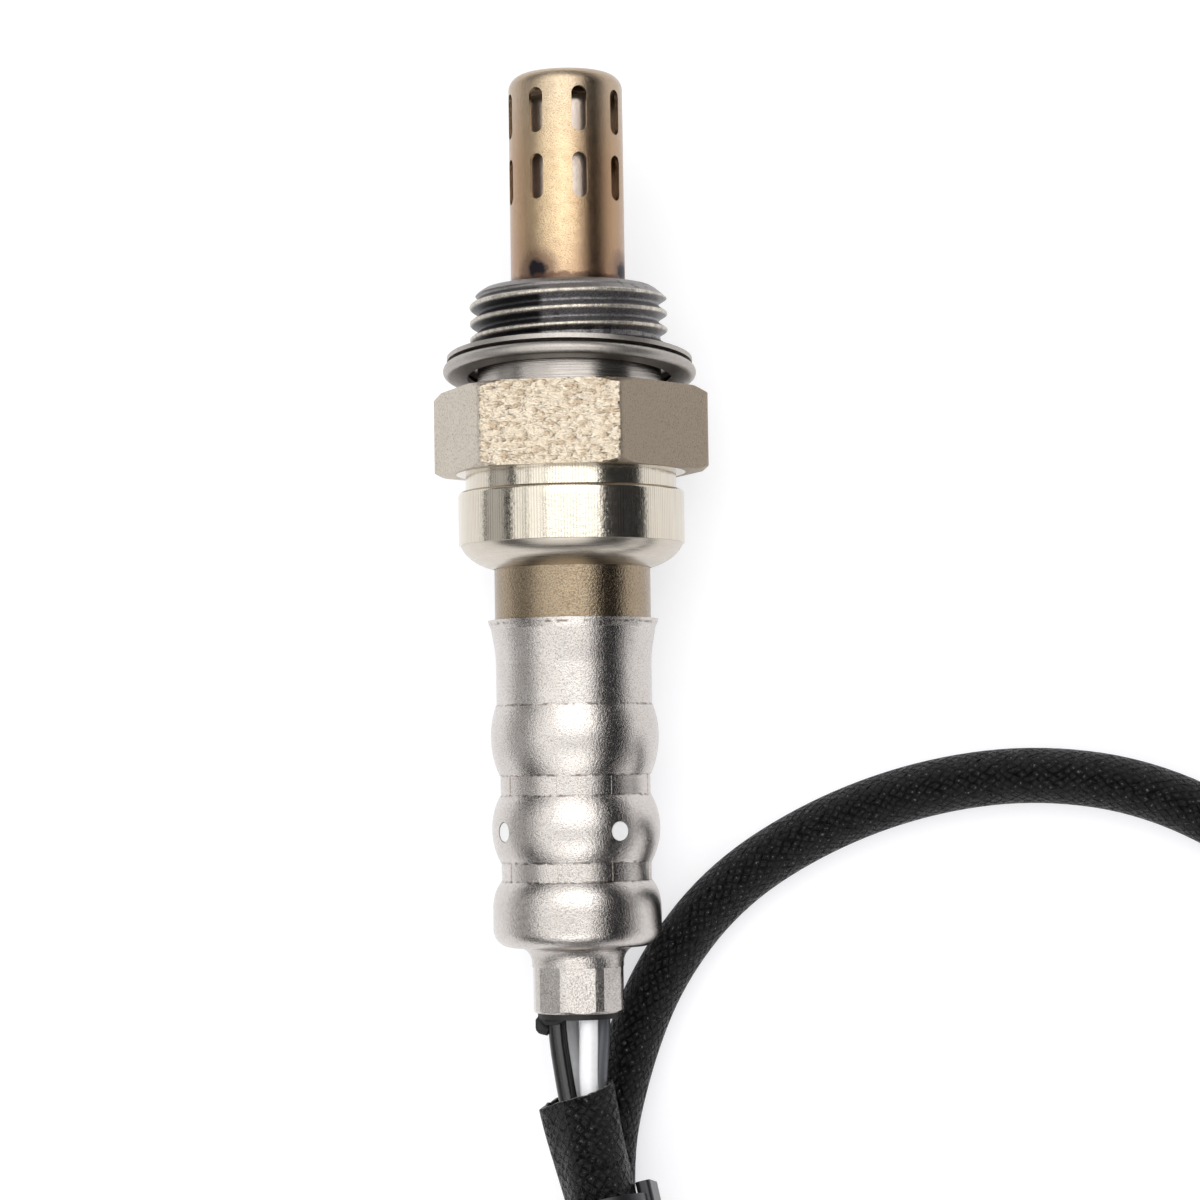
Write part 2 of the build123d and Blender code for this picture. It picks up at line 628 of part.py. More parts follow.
def make_grommet():
    """Rubber plug, squeezed by the two crimps, with a neck that fills the ferrule."""
    behind_membrane = SHELL_WALL + MEMBRANE_WALL + 2 * GROMMET_WALL_GAP
    limit = MEMBRANE_ENDS[1] - GROMMET_WALL_GAP
    upper = shell_form(behind_membrane, CUT_MARGIN) & tube(BULGE_R, 0.0, GROMMET_TOP, limit)
    lower = shell_form(SHELL_WALL + GROMMET_WALL_GAP, CUT_MARGIN) & tube(
        BULGE_R, 0.0, limit, GROMMET_END
    )
    body = upper + lower
    top, bottom = GROMMET_TOP + CUT_MARGIN, GROMMET_END - CUT_MARGIN
    for hole in wire_holes(top, bottom, WIRE_R + WIRE_HOLE_GAP):
        body -= hole
    return body


def make_insulator():
    body = tube(INSULATOR_R, 0.0, INSULATOR_TOP, INSULATOR_END)
    collar_end = INSULATOR_TOP - INSULATOR_COLLAR_LENGTH
    body += tube(INSULATOR_COLLAR_R, 0.0, INSULATOR_TOP - INSULATOR_COLLAR_DROP, collar_end)
    above, below = INSULATOR_TOP + CUT_MARGIN, INSULATOR_END - CUT_MARGIN
    body -= tube(POCKET_R, 0.0, above, INSULATOR_TOP - POCKET_DEPTH)
    for hole in wire_holes(above, below, TERMINAL_R + RUN_GAP):
        body -= hole
    return body


def make_spring():
    """Disc spring that presses the insulator towards the probe."""
    top = INSULATOR_END - SEAT_GAP
    return turned(
        (SPRING_BORE_R, top), (SPRING_BORE_R, top - SPRING_THICKNESS),
        (SPRING_R, top - SPRING_THICKNESS - SPRING_CONE), (SPRING_R, top - SPRING_CONE),
    )


# ---------------------------------------------------------------- contacts
def contact(radius, wire):
    """A ring on the element with a tab along the axis and a foot over one terminal."""
    top = ELEMENT_END + CONTACT_OVERLAP
    bottom = top - CONTACT_LENGTH
    angle = FIRST_WIRE_ANGLE + wire * 90
    body = tube(radius + CONTACT_THICKNESS, radius, top, bottom)
    tab_length = bottom - CONTACT_FOOT_AT + CONTACT_THICKNESS
    tab = Box(
        CONTACT_THICKNESS, CONTACT_TAB_WIDTH, tab_length + CONTACT_TAB_LAP,
        align=(Align.MIN, Align.CENTER, Align.MIN),
    )
    foot_inner = min(radius, WIRE_CIRCLE_R - TERMINAL_PIN_R)
    foot_outer = max(radius + CONTACT_THICKNESS, WIRE_CIRCLE_R + TERMINAL_PIN_R)
    foot = Box(
        foot_outer - foot_inner, CONTACT_TAB_WIDTH, CONTACT_THICKNESS,
        align=(Align.MIN, Align.CENTER, Align.MIN),
    )
    foot_bottom = CONTACT_FOOT_AT - CONTACT_THICKNESS
    body += Rot(0, 0, -angle) * Pos(radius, 0, foot_bottom) * tab
    body += Rot(0, 0, -angle) * Pos(foot_inner, 0, foot_bottom) * foot
    return body


def terminal(wire, pin_top):
    """A crimp barrel with a pin that reaches its contact or the heater."""
    angle = radians(FIRST_WIRE_ANGLE + wire * 90)
    x = WIRE_CIRCLE_R * cos(angle)
    y = -WIRE_CIRCLE_R * sin(angle)
    barrel_top = INSULATOR_TOP - POCKET_DEPTH - BARREL_DROP
    barrel = Cylinder(
        TERMINAL_R, barrel_top - TERMINAL_END, align=(Align.CENTER, Align.CENTER, Align.MIN)
    )
    pin = Cylinder(
        TERMINAL_PIN_R, pin_top - barrel_top, align=(Align.CENTER, Align.CENTER, Align.MIN)
    )
    return Pos(x, y, TERMINAL_END) * barrel + Pos(x, y, barrel_top) * pin


def heater_terminal(wire):
    """A heater terminal adds a leaf that bears on the rod's side."""
    angle = FIRST_WIRE_ANGLE + wire * 90
    top = HEATER_END + HEATER_PIN_LENGTH
    body = terminal(wire, top)
    reach = WIRE_CIRCLE_R - HEATER_R - RUN_GAP
    leaf = Box(
        reach, TERMINAL_PIN_R * 2, HEATER_LEAF_HEIGHT,
        align=(Align.MIN, Align.CENTER, Align.MAX),
    )
    return body + Rot(0, 0, -angle) * Pos(HEATER_R + RUN_GAP, 0, top) * leaf


# ---------------------------------------------------------------- lead
def cord_path(places, name):
    """Straight runs joined by the largest tangent arcs that they allow."""
    radii = []
    for before, here, after in zip(places, places[1:], places[2:]):
        shorter = min((here - before).length, (after - here).length)
        turn = (here - before).get_angle(after - here)
        radii.append(ARC_SHARE * shorter / tan(radians(turn) / 2))
    print(name, "radii", [round(radius, 1) for radius in radii])
    return FilletPolyline(*places, radius=radii)


def swept_tube(path, radius):
    start = path @ 0
    section = Plane(origin=start, z_dir=path % 0) * Circle(radius)
    solid = sweep(section, path=path)
    print("  length", round(path.length, 2), "volume ratio",
          round(solid.volume / (pi * radius ** 2 * path.length), 4))
    return solid


SLEEVE_PLANE = Plane(
    origin=MOUTH, x_dir=(-SLEEVE_DIRECTION.Y, SLEEVE_DIRECTION.X, 0), z_dir=SLEEVE_DIRECTION
)


def sleeve_mouth():
    """The braid's cut end: widened, slanted and hollow down to where the lead fills it."""
    length = SLEEVE_TAPER_END
    inner = MOUTH_R - MOUTH_WALL
    outline = make_face(Polyline(
        (0, MOUTH_DEPTH), (inner - MOUTH_BORE_TAPER, MOUTH_DEPTH), (inner, -MOUTH_R),
        (MOUTH_R, -MOUTH_R),
        (TIED_SLEEVE_R, MOUTH_TO_TIE - TIE_WIDTH), (TIED_SLEEVE_R, MOUTH_TO_TIE + TIE_WIDTH / 2),
        (CORD_D / 2, length), (0, length),
        close=True,
    ))
    form = revolve(Plane.XZ * outline, Axis.Z)
    keep = Rot(MOUTH_LOW_SLANT, MOUTH_SIDE_SLANT, 0) * Box(
        KEEP_WIDTH * MOUTH_R, KEEP_WIDTH * MOUTH_R, 3 * length, align=(Align.CENTER, Align.CENTER, Align.MIN)
    )
    return SLEEVE_PLANE.location * (form & keep)


def make_braided_sleeve():
    start = MOUTH + SLEEVE_DIRECTION * (MOUTH_DEPTH - TUBE_LAP)
    path = cord_path([start] + [Vector(*point) for point in CORD_ROUTE], "braided_sleeve")
    return sleeve_mouth() + swept_tube(path, CORD_D / 2)


def make_wire(step):
    """One insulated wire from its terminal, through the grommet, into the sleeve."""
    angle = FIRST_WIRE_ANGLE + step * 90
    first = axis_point(TERMINAL_END - SEAT_GAP, WIRE_CIRCLE_R, angle)
    leave = axis_point(GROMMET_END - WIRE_LEAVE, WIRE_CIRCLE_R, angle)
    across = WIRE_MOUTH_SHIFT + WIRE_MOUTH_CIRCLE_R * cos(radians(angle))
    side = SLEEVE_PLANE.x_dir * across
    up = SLEEVE_PLANE.y_dir * (WIRE_MOUTH_CIRCLE_R * sin(radians(angle)))
    entry = MOUTH + side + up - SLEEVE_DIRECTION * WIRE_ENTRY
    finish = MOUTH + side + up + SLEEVE_DIRECTION * (MOUTH_DEPTH - WIRE_END_GAP)
    path = cord_path([first, leave, entry, finish], "wire " + str(step))
    return swept_tube(path, WIRE_R)


def make_tie():
    """Strap round both strands of the lead, with its head on the right side."""
    upper = MOUTH + SLEEVE_DIRECTION * MOUTH_TO_TIE
    low_x = (LOWER_AT_TIE - upper).dot(SLEEVE_PLANE.x_dir)
    low_y = (LOWER_AT_TIE - upper).dot(SLEEVE_PLANE.y_dir)

    def loop(extra):
        top = Circle(TIED_SLEEVE_R + TIE_GAP + extra)
        low = Pos(low_x, low_y) * Circle(CORD_D / 2 + TIE_LOW_GAP + extra)
        return make_hull(top.edges() + low.edges())

    band = extrude(loop(TIE_STRAP) - loop(0), TIE_WIDTH / 2, both=True)
    width, height, depth = TIE_HEAD
    head = Pos(TIED_SLEEVE_R + TIE_GAP, -TIE_HEAD_DROP, 0) * Box(
        depth, height, width, align=(Align.MIN, Align.CENTER, Align.CENTER)
    )
    slit = extrude(loop(0), TIE_HEAD[0], both=True)
    head = fillet(head.edges().filter_by(Axis.Z), TIE_HEAD_EDGE)
    return Pos(upper - MOUTH) * SLEEVE_PLANE.location * (band + (head - slit))


# ---------------------------------------------------------------- connector
CONNECTOR_START = Vector(*CORD_ROUTE[-1])
CONNECTOR_Z = SHELL_H / 2 + CONNECTOR_FLOOR_GAP


def on_connector(shape):
    """Move a piece made along +X from the boot's rear face to where it lies."""
    place = Pos(CONNECTOR_START.X, CONNECTOR_START.Y, CONNECTOR_Z)
    return place * Rot(0, 0, CONNECTOR_TURN) * Pos(BOOT_GAP, 0, 0) * shape


def bar(x, length, width, height, edge=0.0):
    """A bar along +X from x, centred on the connector's axis."""
    body = Pos(x, 0, 0) * Box(
        length, width, height, align=(Align.MIN, Align.CENTER, Align.CENTER)
    )
    if edge:
        body = fillet(body.edges().filter_by(Axis.X), edge)
    return body


HOUSING_AT = BOOT_LENGTH + SEAT_GAP
NOSE_AT = HOUSING_AT + SHELL_L


def cavities():
    """Centres of the four terminal cavities, as (y, z)."""
    return [
        (side * CAVITY_PITCH / 2, level * CAVITY_ROW_PITCH / 2)
        for side in (-1, 1) for level in (-1, 1)
    ]


def make_boot():
    outline = [(0, 0), (BOOT_REAR_R, 0)]
    slope = (BOOT_FRONT_R - BOOT_REAR_R) / (BOOT_RIBS * BOOT_RIB_PITCH)
    for rib in range(BOOT_RIBS):
        x = rib * BOOT_RIB_PITCH
        radius = BOOT_REAR_R + slope * x
        groove_r = radius - BOOT_GROOVE_DEPTH
        groove_at = x + BOOT_RIB_WIDTH + BOOT_RIB_EDGE
        outline += [(radius, x + BOOT_RIB_WIDTH), (groove_r, groove_at)]
        outline += [(groove_r, groove_at + BOOT_GROOVE_WIDTH)]
        outline += [(radius + slope * BOOT_RIB_PITCH, x + BOOT_RIB_PITCH)]
    outline += [(BOOT_FRONT_R, BOOT_LENGTH), (0, BOOT_LENGTH)]
    form = revolve(Plane.XZ * make_face(Polyline(*outline, close=True)), Axis.Z)
    return on_connector(Rot(0, 90, 0) * form)


def make_connector_housing():
    body = bar(HOUSING_AT, SHELL_L, SHELL_W, SHELL_H, SHELL_EDGE)
    body += bar(NOSE_AT, NOSE_L, NOSE_W, NOSE_H, NOSE_EDGE)
    latch_z = SHELL_H / 2
    latch_x = NOSE_AT - LATCH_SET_BACK
    latch_top = latch_z + LATCH_RISE + LATCH_T
    arm = Pos(latch_x, 0, latch_z + LATCH_RISE) * Box(
        LATCH_L, LATCH_W, LATCH_T, align=(Align.MAX, Align.CENTER, Align.MIN)
    )
    root = Pos(latch_x, 0, latch_z - LATCH_ROOT_LAP) * Box(
        LATCH_ROOT_L, LATCH_W, LATCH_RISE + LATCH_ROOT_LAP,
        align=(Align.MAX, Align.CENTER, Align.MIN),
    )
    grip = Pos(latch_x - LATCH_L, 0, latch_top) * Box(
        LATCH_GRIP_L, LATCH_W, LATCH_GRIP, align=(Align.MIN, Align.CENTER, Align.MIN)
    )
    hook = Pos(NOSE_AT - HOOK_SET_BACK, 0, latch_top) * Box(
        HOOK_L, HOOK_W, HOOK_H, align=(Align.MAX, Align.CENTER, Align.MIN)
    )
    body += arm + root + grip + hook
    for y, z in cavities():
        body -= Pos(NOSE_AT + NOSE_L + CUT_MARGIN, y, z) * Box(
            CAVITY_DEPTH + CUT_MARGIN, CAVITY_W, CAVITY_H,
            align=(Align.MAX, Align.CENTER, Align.CENTER),
        )
    body -= lock_block(RUN_GAP)
    return on_connector(body)


def lock_block(extra):
    """The side lock's own room in the housing's left wall."""
    return Pos(HOUSING_AT + LOCK_AT, SHELL_W / 2 + LOCK_PROUD + extra, 0) * Box(
        LOCK_L + 2 * extra, LOCK_T + 2 * extra, LOCK_H + 2 * extra,
        align=(Align.CENTER, Align.MAX, Align.CENTER),
    )


def make_terminal_lock():
    return on_connector(lock_block(0.0))


def make_ring_seal():
    outer = bar(NOSE_AT + SEAT_GAP, RING_SEAL_L, NOSE_W + 2 * RING_SEAL_T,
                NOSE_H + 2 * RING_SEAL_T, NOSE_EDGE + RING_SEAL_T)
    inner = bar(NOSE_AT - CUT_MARGIN, RING_SEAL_L + 2 * CUT_MARGIN, NOSE_W + 2 * RUN_GAP,
                NOSE_H + 2 * RUN_GAP, NOSE_EDGE)
    return on_connector(outer - inner)


def make_connector_terminals():
    """Four socket terminals, each a small box with a slot for the mating blade."""
    group = []
    for y, z in cavities():
        front = NOSE_AT + NOSE_L - PIN_SET_BACK
        body = Pos(front, y, z) * Box(
            PIN_LENGTH, CAVITY_W - 2 * RUN_GAP, CAVITY_H - 2 * RUN_GAP,
            align=(Align.MAX, Align.CENTER, Align.CENTER),
        )
        body -= Pos(front + CUT_MARGIN, y, z) * Box(
            BLADE_SLOT_DEPTH + CUT_MARGIN, CAVITY_W - 2 * PIN_WALL, CAVITY_H - 2 * PIN_WALL,
            align=(Align.MAX, Align.CENTER, Align.CENTER),
        )
        group.append(on_connector(body))
    return Compound(children=group)


# ---------------------------------------------------------------- assembly
PIECES = {
    "housing": lambda: lay_down(make_housing()),
    "gasket": lambda: lay_down(make_gasket()),
    "outer_protection_tube": lambda: lay_down(make_outer_tube()),
    "inner_protection_tube": lambda: lay_down(make_inner_tube()),
    "seal_ring": lambda: lay_down(tube(
        ELEMENT_FLANGE_R, SEAL_RING_BORE_R, ELEMENT_TOP + SEAT_GAP + SEAL_RING_THICKNESS,
        ELEMENT_TOP + SEAT_GAP)),
    "sensing_element": lambda: lay_down(make_element()),
    "heater_rod": lambda: lay_down(make_heater()),
    "talc_seal": lambda: lay_down(tube(
        STACK_BORE_R - RUN_GAP, ELEMENT_COLLAR_R + RUN_GAP, ELEMENT_FLANGE_END - SEAT_GAP,
        TALC_END)),
    "ceramic_bush": lambda: lay_down(tube(
        STACK_BORE_R - RUN_GAP, ELEMENT_COLLAR_R + RUN_GAP, TALC_END - SEAT_GAP, BUSH_END)),
    "lock_ring": lambda: lay_down(tube(
        SLEEVE_FLANGE_R, LOCK_RING_BORE_R, STACK_END - SEAT_GAP,
        STACK_END - SEAT_GAP - LOCK_RING_LENGTH)),
    "inner_sleeve": lambda: lay_down(make_sleeve()),
    "outer_shell": lambda: lay_down(make_shell()),
    "signal_contact": lambda: lay_down(contact(HEATER_R + SIGNAL_CONTACT_GAP, 1)),
    "ground_contact": lambda: lay_down(contact(ELEMENT_COLLAR_R + RUN_GAP, 3)),
    "insulator": lambda: lay_down(make_insulator()),
    "disc_spring": lambda: lay_down(make_spring()),
    "heater_terminal_1": lambda: lay_down(heater_terminal(0)),
    "signal_terminal": lambda: lay_down(terminal(
        1, CONTACT_FOOT_AT - CONTACT_THICKNESS - SEAT_GAP)),
    "heater_terminal_2": lambda: lay_down(heater_terminal(2)),
    "ground_terminal": lambda: lay_down(terminal(
        3, CONTACT_FOOT_AT - CONTACT_THICKNESS - SEAT_GAP)),
    "vent_membrane": lambda: lay_down(make_membrane()),
    "grommet": lambda: lay_down(make_grommet()),
    "wire_white_1": lambda: make_wire(0),
    "wire_black": lambda: make_wire(1),
    "wire_white_2": lambda: make_wire(2),
    "wire_grey": lambda: make_wire(3),
    "braided_sleeve": make_braided_sleeve,
    "cable_tie": make_tie,
    "connector_boot": make_boot,
    "connector_housing": make_connector_housing,
    "connector_ring_seal": make_ring_seal,
    "connector_terminal_lock": make_terminal_lock,
    "connector_terminals": make_connector_terminals,
}

os.makedirs("parts", exist_ok=True)
print("tilt", round(degrees(TILT), 3), "axis y", round(AXIS_Y, 3), "axis z", round(AXIS_Z, 3))
for name, make in PIECES.items():
    export_step(make(), "parts/" + name + ".step")
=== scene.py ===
"""Looks of the heated oxygen sensor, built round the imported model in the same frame."""
import json
import math

import bmesh
import bpy
import numpy as np
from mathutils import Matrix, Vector


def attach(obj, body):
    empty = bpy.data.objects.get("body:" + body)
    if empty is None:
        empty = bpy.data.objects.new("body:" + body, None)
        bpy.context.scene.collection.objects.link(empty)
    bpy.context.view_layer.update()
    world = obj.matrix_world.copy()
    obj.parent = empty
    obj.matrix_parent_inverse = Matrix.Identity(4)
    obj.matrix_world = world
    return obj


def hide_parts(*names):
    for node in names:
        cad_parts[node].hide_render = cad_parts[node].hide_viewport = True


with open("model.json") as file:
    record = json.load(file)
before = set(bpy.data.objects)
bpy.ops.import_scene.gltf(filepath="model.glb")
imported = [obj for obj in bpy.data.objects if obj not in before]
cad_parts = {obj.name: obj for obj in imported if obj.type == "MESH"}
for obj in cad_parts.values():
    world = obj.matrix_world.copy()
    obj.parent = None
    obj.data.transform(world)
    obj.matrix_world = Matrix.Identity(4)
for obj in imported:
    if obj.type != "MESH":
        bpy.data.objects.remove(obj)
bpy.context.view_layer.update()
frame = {"nodes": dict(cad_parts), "record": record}
nodes = frame["nodes"]

MM = 0.001
PER_M = 1000.0                     # millimetres in a metre
INSIDE = 0.01                      # mm that detail drawn on a solid stays within its surface

# ---------------------------------------------------------------- the sensor's own axis
# a place on the sensor is an angle from its top, a radius, and a station: mm along the axis
# from the hexagon's seat face, positive towards the probe's tip
THREAD_MIDDLE = 6.45               # mm from the hexagon's seat face to the thread mount
thread = next(m for m in frame["record"]["mounts"] if m["name"] == "thread")
AXIS = Vector(thread["axis"]).normalized()
ORIGIN = Vector(thread["pos_m"]) - AXIS * THREAD_MIDDLE * MM
SIDE = Vector((1, 0, 0))
DOWN = AXIS.cross(SIDE)            # local +Y points down, so the sensor's top is local -Y


def place(points):
    """Points in mm on the sensor's own axes (x, y, s) to the row frame, in metres."""
    turn = np.array([SIDE, DOWN, AXIS])
    return np.asarray(points, float) @ turn * MM + np.array(ORIGIN)


# ---------------------------------------------------------------- camera
CAMERA_AT = (0.05122, -0.04501, 0.30645)
CAMERA_TURN = (7.536, 9.349, -0.119)
LENS = 100.5

camera_data = bpy.data.cameras.new("camera")
camera_data.lens = LENS
camera_data.sensor_width = 36.0
camera_data.clip_start = 0.01
camera = bpy.data.objects.new("camera", camera_data)
camera.location = CAMERA_AT
camera.rotation_euler = [math.radians(a) for a in CAMERA_TURN]
bpy.context.scene.collection.objects.link(camera)
bpy.context.scene.camera = camera
bpy.context.scene.view_settings.view_transform = "Standard"


# ---------------------------------------------------------------- node helpers
class Graph:
    """Short calls for building one material's nodes."""

    def __init__(self, name):
        self.material = bpy.data.materials.new(name)
        self.material.use_nodes = True
        self.tree = self.material.node_tree
        self.shader = self.tree.nodes["Principled BSDF"]

    def add(self, kind, **settings):
        node = self.tree.nodes.new(kind)
        for key, value in settings.items():
            setattr(node, key, value)
        return node

    def link(self, source, target):
        self.tree.links.new(source, target)

    def feed(self, socket, value):
        if isinstance(value, bpy.types.NodeSocket):
            self.link(value, socket)
        else:
            socket.default_value = value

    def math(self, operation, a, b=0.0, clamp=False):
        node = self.add("ShaderNodeMath", operation=operation, use_clamp=clamp)
        for socket, value in zip(node.inputs, (a, b)):
            self.feed(socket, value)
        return node.outputs[0]

    def vector_math(self, operation, a, b):
        node = self.add("ShaderNodeVectorMath", operation=operation)
        self.feed(node.inputs[0], a)
        self.feed(node.inputs[1], b)
        return node

    def combine(self, x, y, z):
        node = self.add("ShaderNodeCombineXYZ")
        for socket, value in zip(node.inputs, (x, y, z)):
            self.feed(socket, value)
        return node.outputs[0]

    def noise(self, vector, scale, detail=4.0, rough=0.55):
        node = self.add("ShaderNodeTexNoise")
        self.link(vector, node.inputs["Vector"])
        node.inputs["Scale"].default_value = scale
        node.inputs["Detail"].default_value = detail
        node.inputs["Roughness"].default_value = rough
        return node.outputs["Fac"]

    def ramp(self, value, *stops):
        node = self.add("ShaderNodeValToRGB")
        self.link(value, node.inputs[0])
        elements = node.color_ramp.elements
        while len(elements) < len(stops):
            elements.new(0.5)
        for element, (at, colour) in zip(elements, stops):
            element.position = at
            element.color = (*colour, 1.0)
        return node.outputs[0]

    def mix(self, factor, a, b):
        node = self.add("ShaderNodeMix", data_type="RGBA")
        self.feed(node.inputs[0], factor)
        for socket, value in ((node.inputs[6], a), (node.inputs[7], b)):
            if isinstance(value, tuple):
                value = (*value, 1.0)
            self.feed(socket, value)
        return node.outputs[2]

    def spread(self, value, low, high, to_low, to_high):
        node = self.add("ShaderNodeMapRange")
        for socket, number in zip(node.inputs, (value, low, high, to_low, to_high)):
            self.feed(socket, number)
        return node.outputs[0]

    def bump(self, height, distance, under=None):
        node = self.add("ShaderNodeBump")
        node.inputs["Strength"].default_value = 1.0
        node.inputs["Distance"].default_value = distance
        self.link(height, node.inputs["Height"])
        if under is not None:
            self.link(under, node.inputs["Normal"])
        return node.outputs[0]

    def place_mm(self):
        """Object coordinates in millimetres."""
        coords = self.add("ShaderNodeTexCoord").outputs["Object"]
        return self.vector_math("MULTIPLY", coords, (PER_M, PER_M, PER_M)).outputs[0]

    def axial(self):
        """The angle from the sensor's top in radians, the station and the radius in mm."""
        coords = self.add("ShaderNodeTexCoord").outputs["Object"]
        off = self.vector_math("SUBTRACT", coords, tuple(ORIGIN)).outputs[0]
        x, y, s = (
            self.math("MULTIPLY", self.vector_math("DOT_PRODUCT", off, tuple(way)).outputs["Value"], PER_M)
            for way in (SIDE, -DOWN, AXIS)
        )
        squares = self.math("ADD", self.math("MULTIPLY", x, x), self.math("MULTIPLY", y, y))
        return self.math("ARCTAN2", x, y), s, self.math("SQRT", squares)

    def finish(self, colour, metallic, roughness, normal):
        for socket, value in (("Base Color", colour), ("Metallic", metallic),
                              ("Roughness", roughness), ("Normal", normal)):
            self.feed(self.shader.inputs[socket], value)
        return self.material


def dress(material, *names):
    """Give CAD nodes a finish."""
    for name in names:
        mesh = nodes[name].data
        mesh.materials.clear()
        mesh.materials.append(material)


# ---------------------------------------------------------------- finishes
TUBE_R = 5.2                       # the outer protection tube's radius
WELD_AT = 10.5                     # station of the tube's weld spots
WELD_ANGLES = (-23.0, 80.0, 200.0)
SEAM_AT = 10.9                     # station where the burr at the tube's root starts
# stations of the dark lines painted in the corners as shade, with some dirt: under the shell's rim, then
# where the crimps start and end
SHELL_CORNERS = (-21.15, -28.5, -34.8, -36.6, -42.6, -44.3)
FERRULE_FROM, FERRULE_TO = -49.6, -50.6      # the shell's crinkle grows deeper between these


def satin_metal(name, colours, rough, grain=4.5, depth=0.02, specks=0.0):
    """Drawn sheet: a fine crinkle that sparkles, dark specks, and slow changes of colour."""
    g = Graph(name)
    spot = g.place_mm()
    crinkle = g.noise(spot, grain, 3.0, 0.6)
    colour = g.mix(g.noise(spot, 0.35, 3.0), *colours)
    dark = tuple(0.35 * c for c in colours[0])
    colour = g.mix(g.spread(g.noise(spot, 8.0, 2.0, 0.6), 0.38, 0.5, specks, 0.0), colour, dark)
    return g.finish(colour, 1.0, g.spread(crinkle, 0.3, 0.7, *rough), g.bump(crinkle, depth * MM))


def heat_tinted_tube():
    """The outer tube: straw gold that heat has browned near its root, with dark weld spots; its top is
    painted paler as a highlight and its sides browner as shade.
    """
    g = Graph("gold_tint")
    angle, s, _ = g.axial()
    spot = g.place_mm()
    grain = g.noise(spot, 8.0, 4.0, 0.65)
    mottle = g.noise(spot, 0.9, 4.0, 0.6)
    # painted highlight: paler gold on the top, where the light falls, and painted shade browning it towards
    # the sides
    angle_off_painted_highlight = g.math("ABSOLUTE", g.math("ADD", angle, 0.1))
    colour = g.mix(g.spread(angle_off_painted_highlight, 0.2, 0.7, 0.0, 1.0), (0.62, 0.47, 0.29), (0.39, 0.25, 0.145))
    colour = g.mix(g.spread(mottle, 0.40, 0.66, 0.0, 0.3), colour, (0.33, 0.215, 0.13))
    colour = g.mix(g.spread(s, 20.0, 27.5, 0.0, 0.6), colour, (0.46, 0.39, 0.30))
    colour = g.mix(g.spread(s, 14.5, 10.0, 0.0, 0.5), colour, (0.30, 0.18, 0.12))
    colour = g.mix(g.ramp(grain, (0.36, (0.5, 0.5, 0.5)), (0.48, (0, 0, 0))), colour, (0.20, 0.13, 0.08))
    burnt = 0.0
    for turn in np.radians(WELD_ANGLES):
        centre = place([(TUBE_R * math.sin(turn), -TUBE_R * math.cos(turn), WELD_AT)])[0] * PER_M
        away = g.vector_math("DISTANCE", spot, tuple(centre)).outputs["Value"]
        ragged = g.math("ADD", away, g.math("MULTIPLY", mottle, 1.2))
        burnt = g.math("MAXIMUM", burnt, g.spread(ragged, 3.0, 1.1, 0.0, 1.0))
    colour = g.mix(g.spread(burnt, 0.0, 0.5, 0.0, 0.75), colour, (0.17, 0.105, 0.075))
    colour = g.mix(g.spread(burnt, 0.62, 0.85, 0.0, 1.0), colour, (0.02, 0.018, 0.022))
    seam = g.spread(g.math("ADD", s, g.math("MULTIPLY", mottle, 1.2)), SEAM_AT, SEAM_AT - 0.3, 0.0, 0.8)
    colour = g.mix(seam, colour, (0.10, 0.055, 0.04))
    rough = g.math("ADD", g.spread(grain, 0.3, 0.7, 0.13, 0.22), g.math("MULTIPLY", burnt, 0.3))
    return g.finish(colour, 1.0, rough, g.bump(grain, 0.032 * MM))


def shell_steel():
    """Drawn steel with a warm cast: sparkling crinkle, specks, and painted shade with some dirt in the
    crimps' corners and under the rim.
    """
    g = Graph("shell_steel")
    s = g.axial()[1]
    spot = g.place_mm()
    crinkle = g.noise(spot, 4.5, 3.0, 0.6)
    fine = g.noise(spot, 9.0, 2.0, 0.6)
    colour = g.mix(g.noise(spot, 0.35, 3.0), (0.53, 0.485, 0.45), (0.65, 0.62, 0.59))
    colour = g.mix(g.ramp(fine, (0.38, (0.6, 0.6, 0.6)), (0.47, (0, 0, 0))), colour, (0.26, 0.23, 0.21))
    # painted shade, partly dirt: a ragged dark line at each corner of the crimps and under the rim
    corner_shade_and_dirt = 0.0
    for corner in SHELL_CORNERS:
        off = g.math("ABSOLUTE", g.math("SUBTRACT", s, corner))
        corner_shade_and_dirt = g.math("MAXIMUM", corner_shade_and_dirt, g.spread(off, 0.05, 0.15, 1.0, 0.0))
    ragged = g.spread(g.noise(spot, 1.6, 4.0, 0.6), 0.45, 0.62, 0.0, 0.8)
    colour = g.mix(g.math("MULTIPLY", corner_shade_and_dirt, ragged), colour, (0.12, 0.085, 0.065))
    dented = g.math("MULTIPLY", crinkle, g.spread(s, FERRULE_FROM, FERRULE_TO, 1.0, 2.2))
    normal = g.bump(dented, 0.024 * MM, under=g.bump(fine, 0.012 * MM))
    return g.finish(colour, 1.0, g.spread(crinkle, 0.3, 0.7, 0.14, 0.25), normal)


def plain(name, colour, rough, metallic=0.0, depth=0.02):
    """A finish with a faint grain, for small and hidden pieces."""
    g = Graph(name)
    grain = g.noise(g.place_mm(), 2.0, 4.0)
    dark = tuple(0.85 * c for c in colour)
    return g.finish(g.mix(grain, dark, colour), metallic, rough, g.bump(grain, depth * MM))


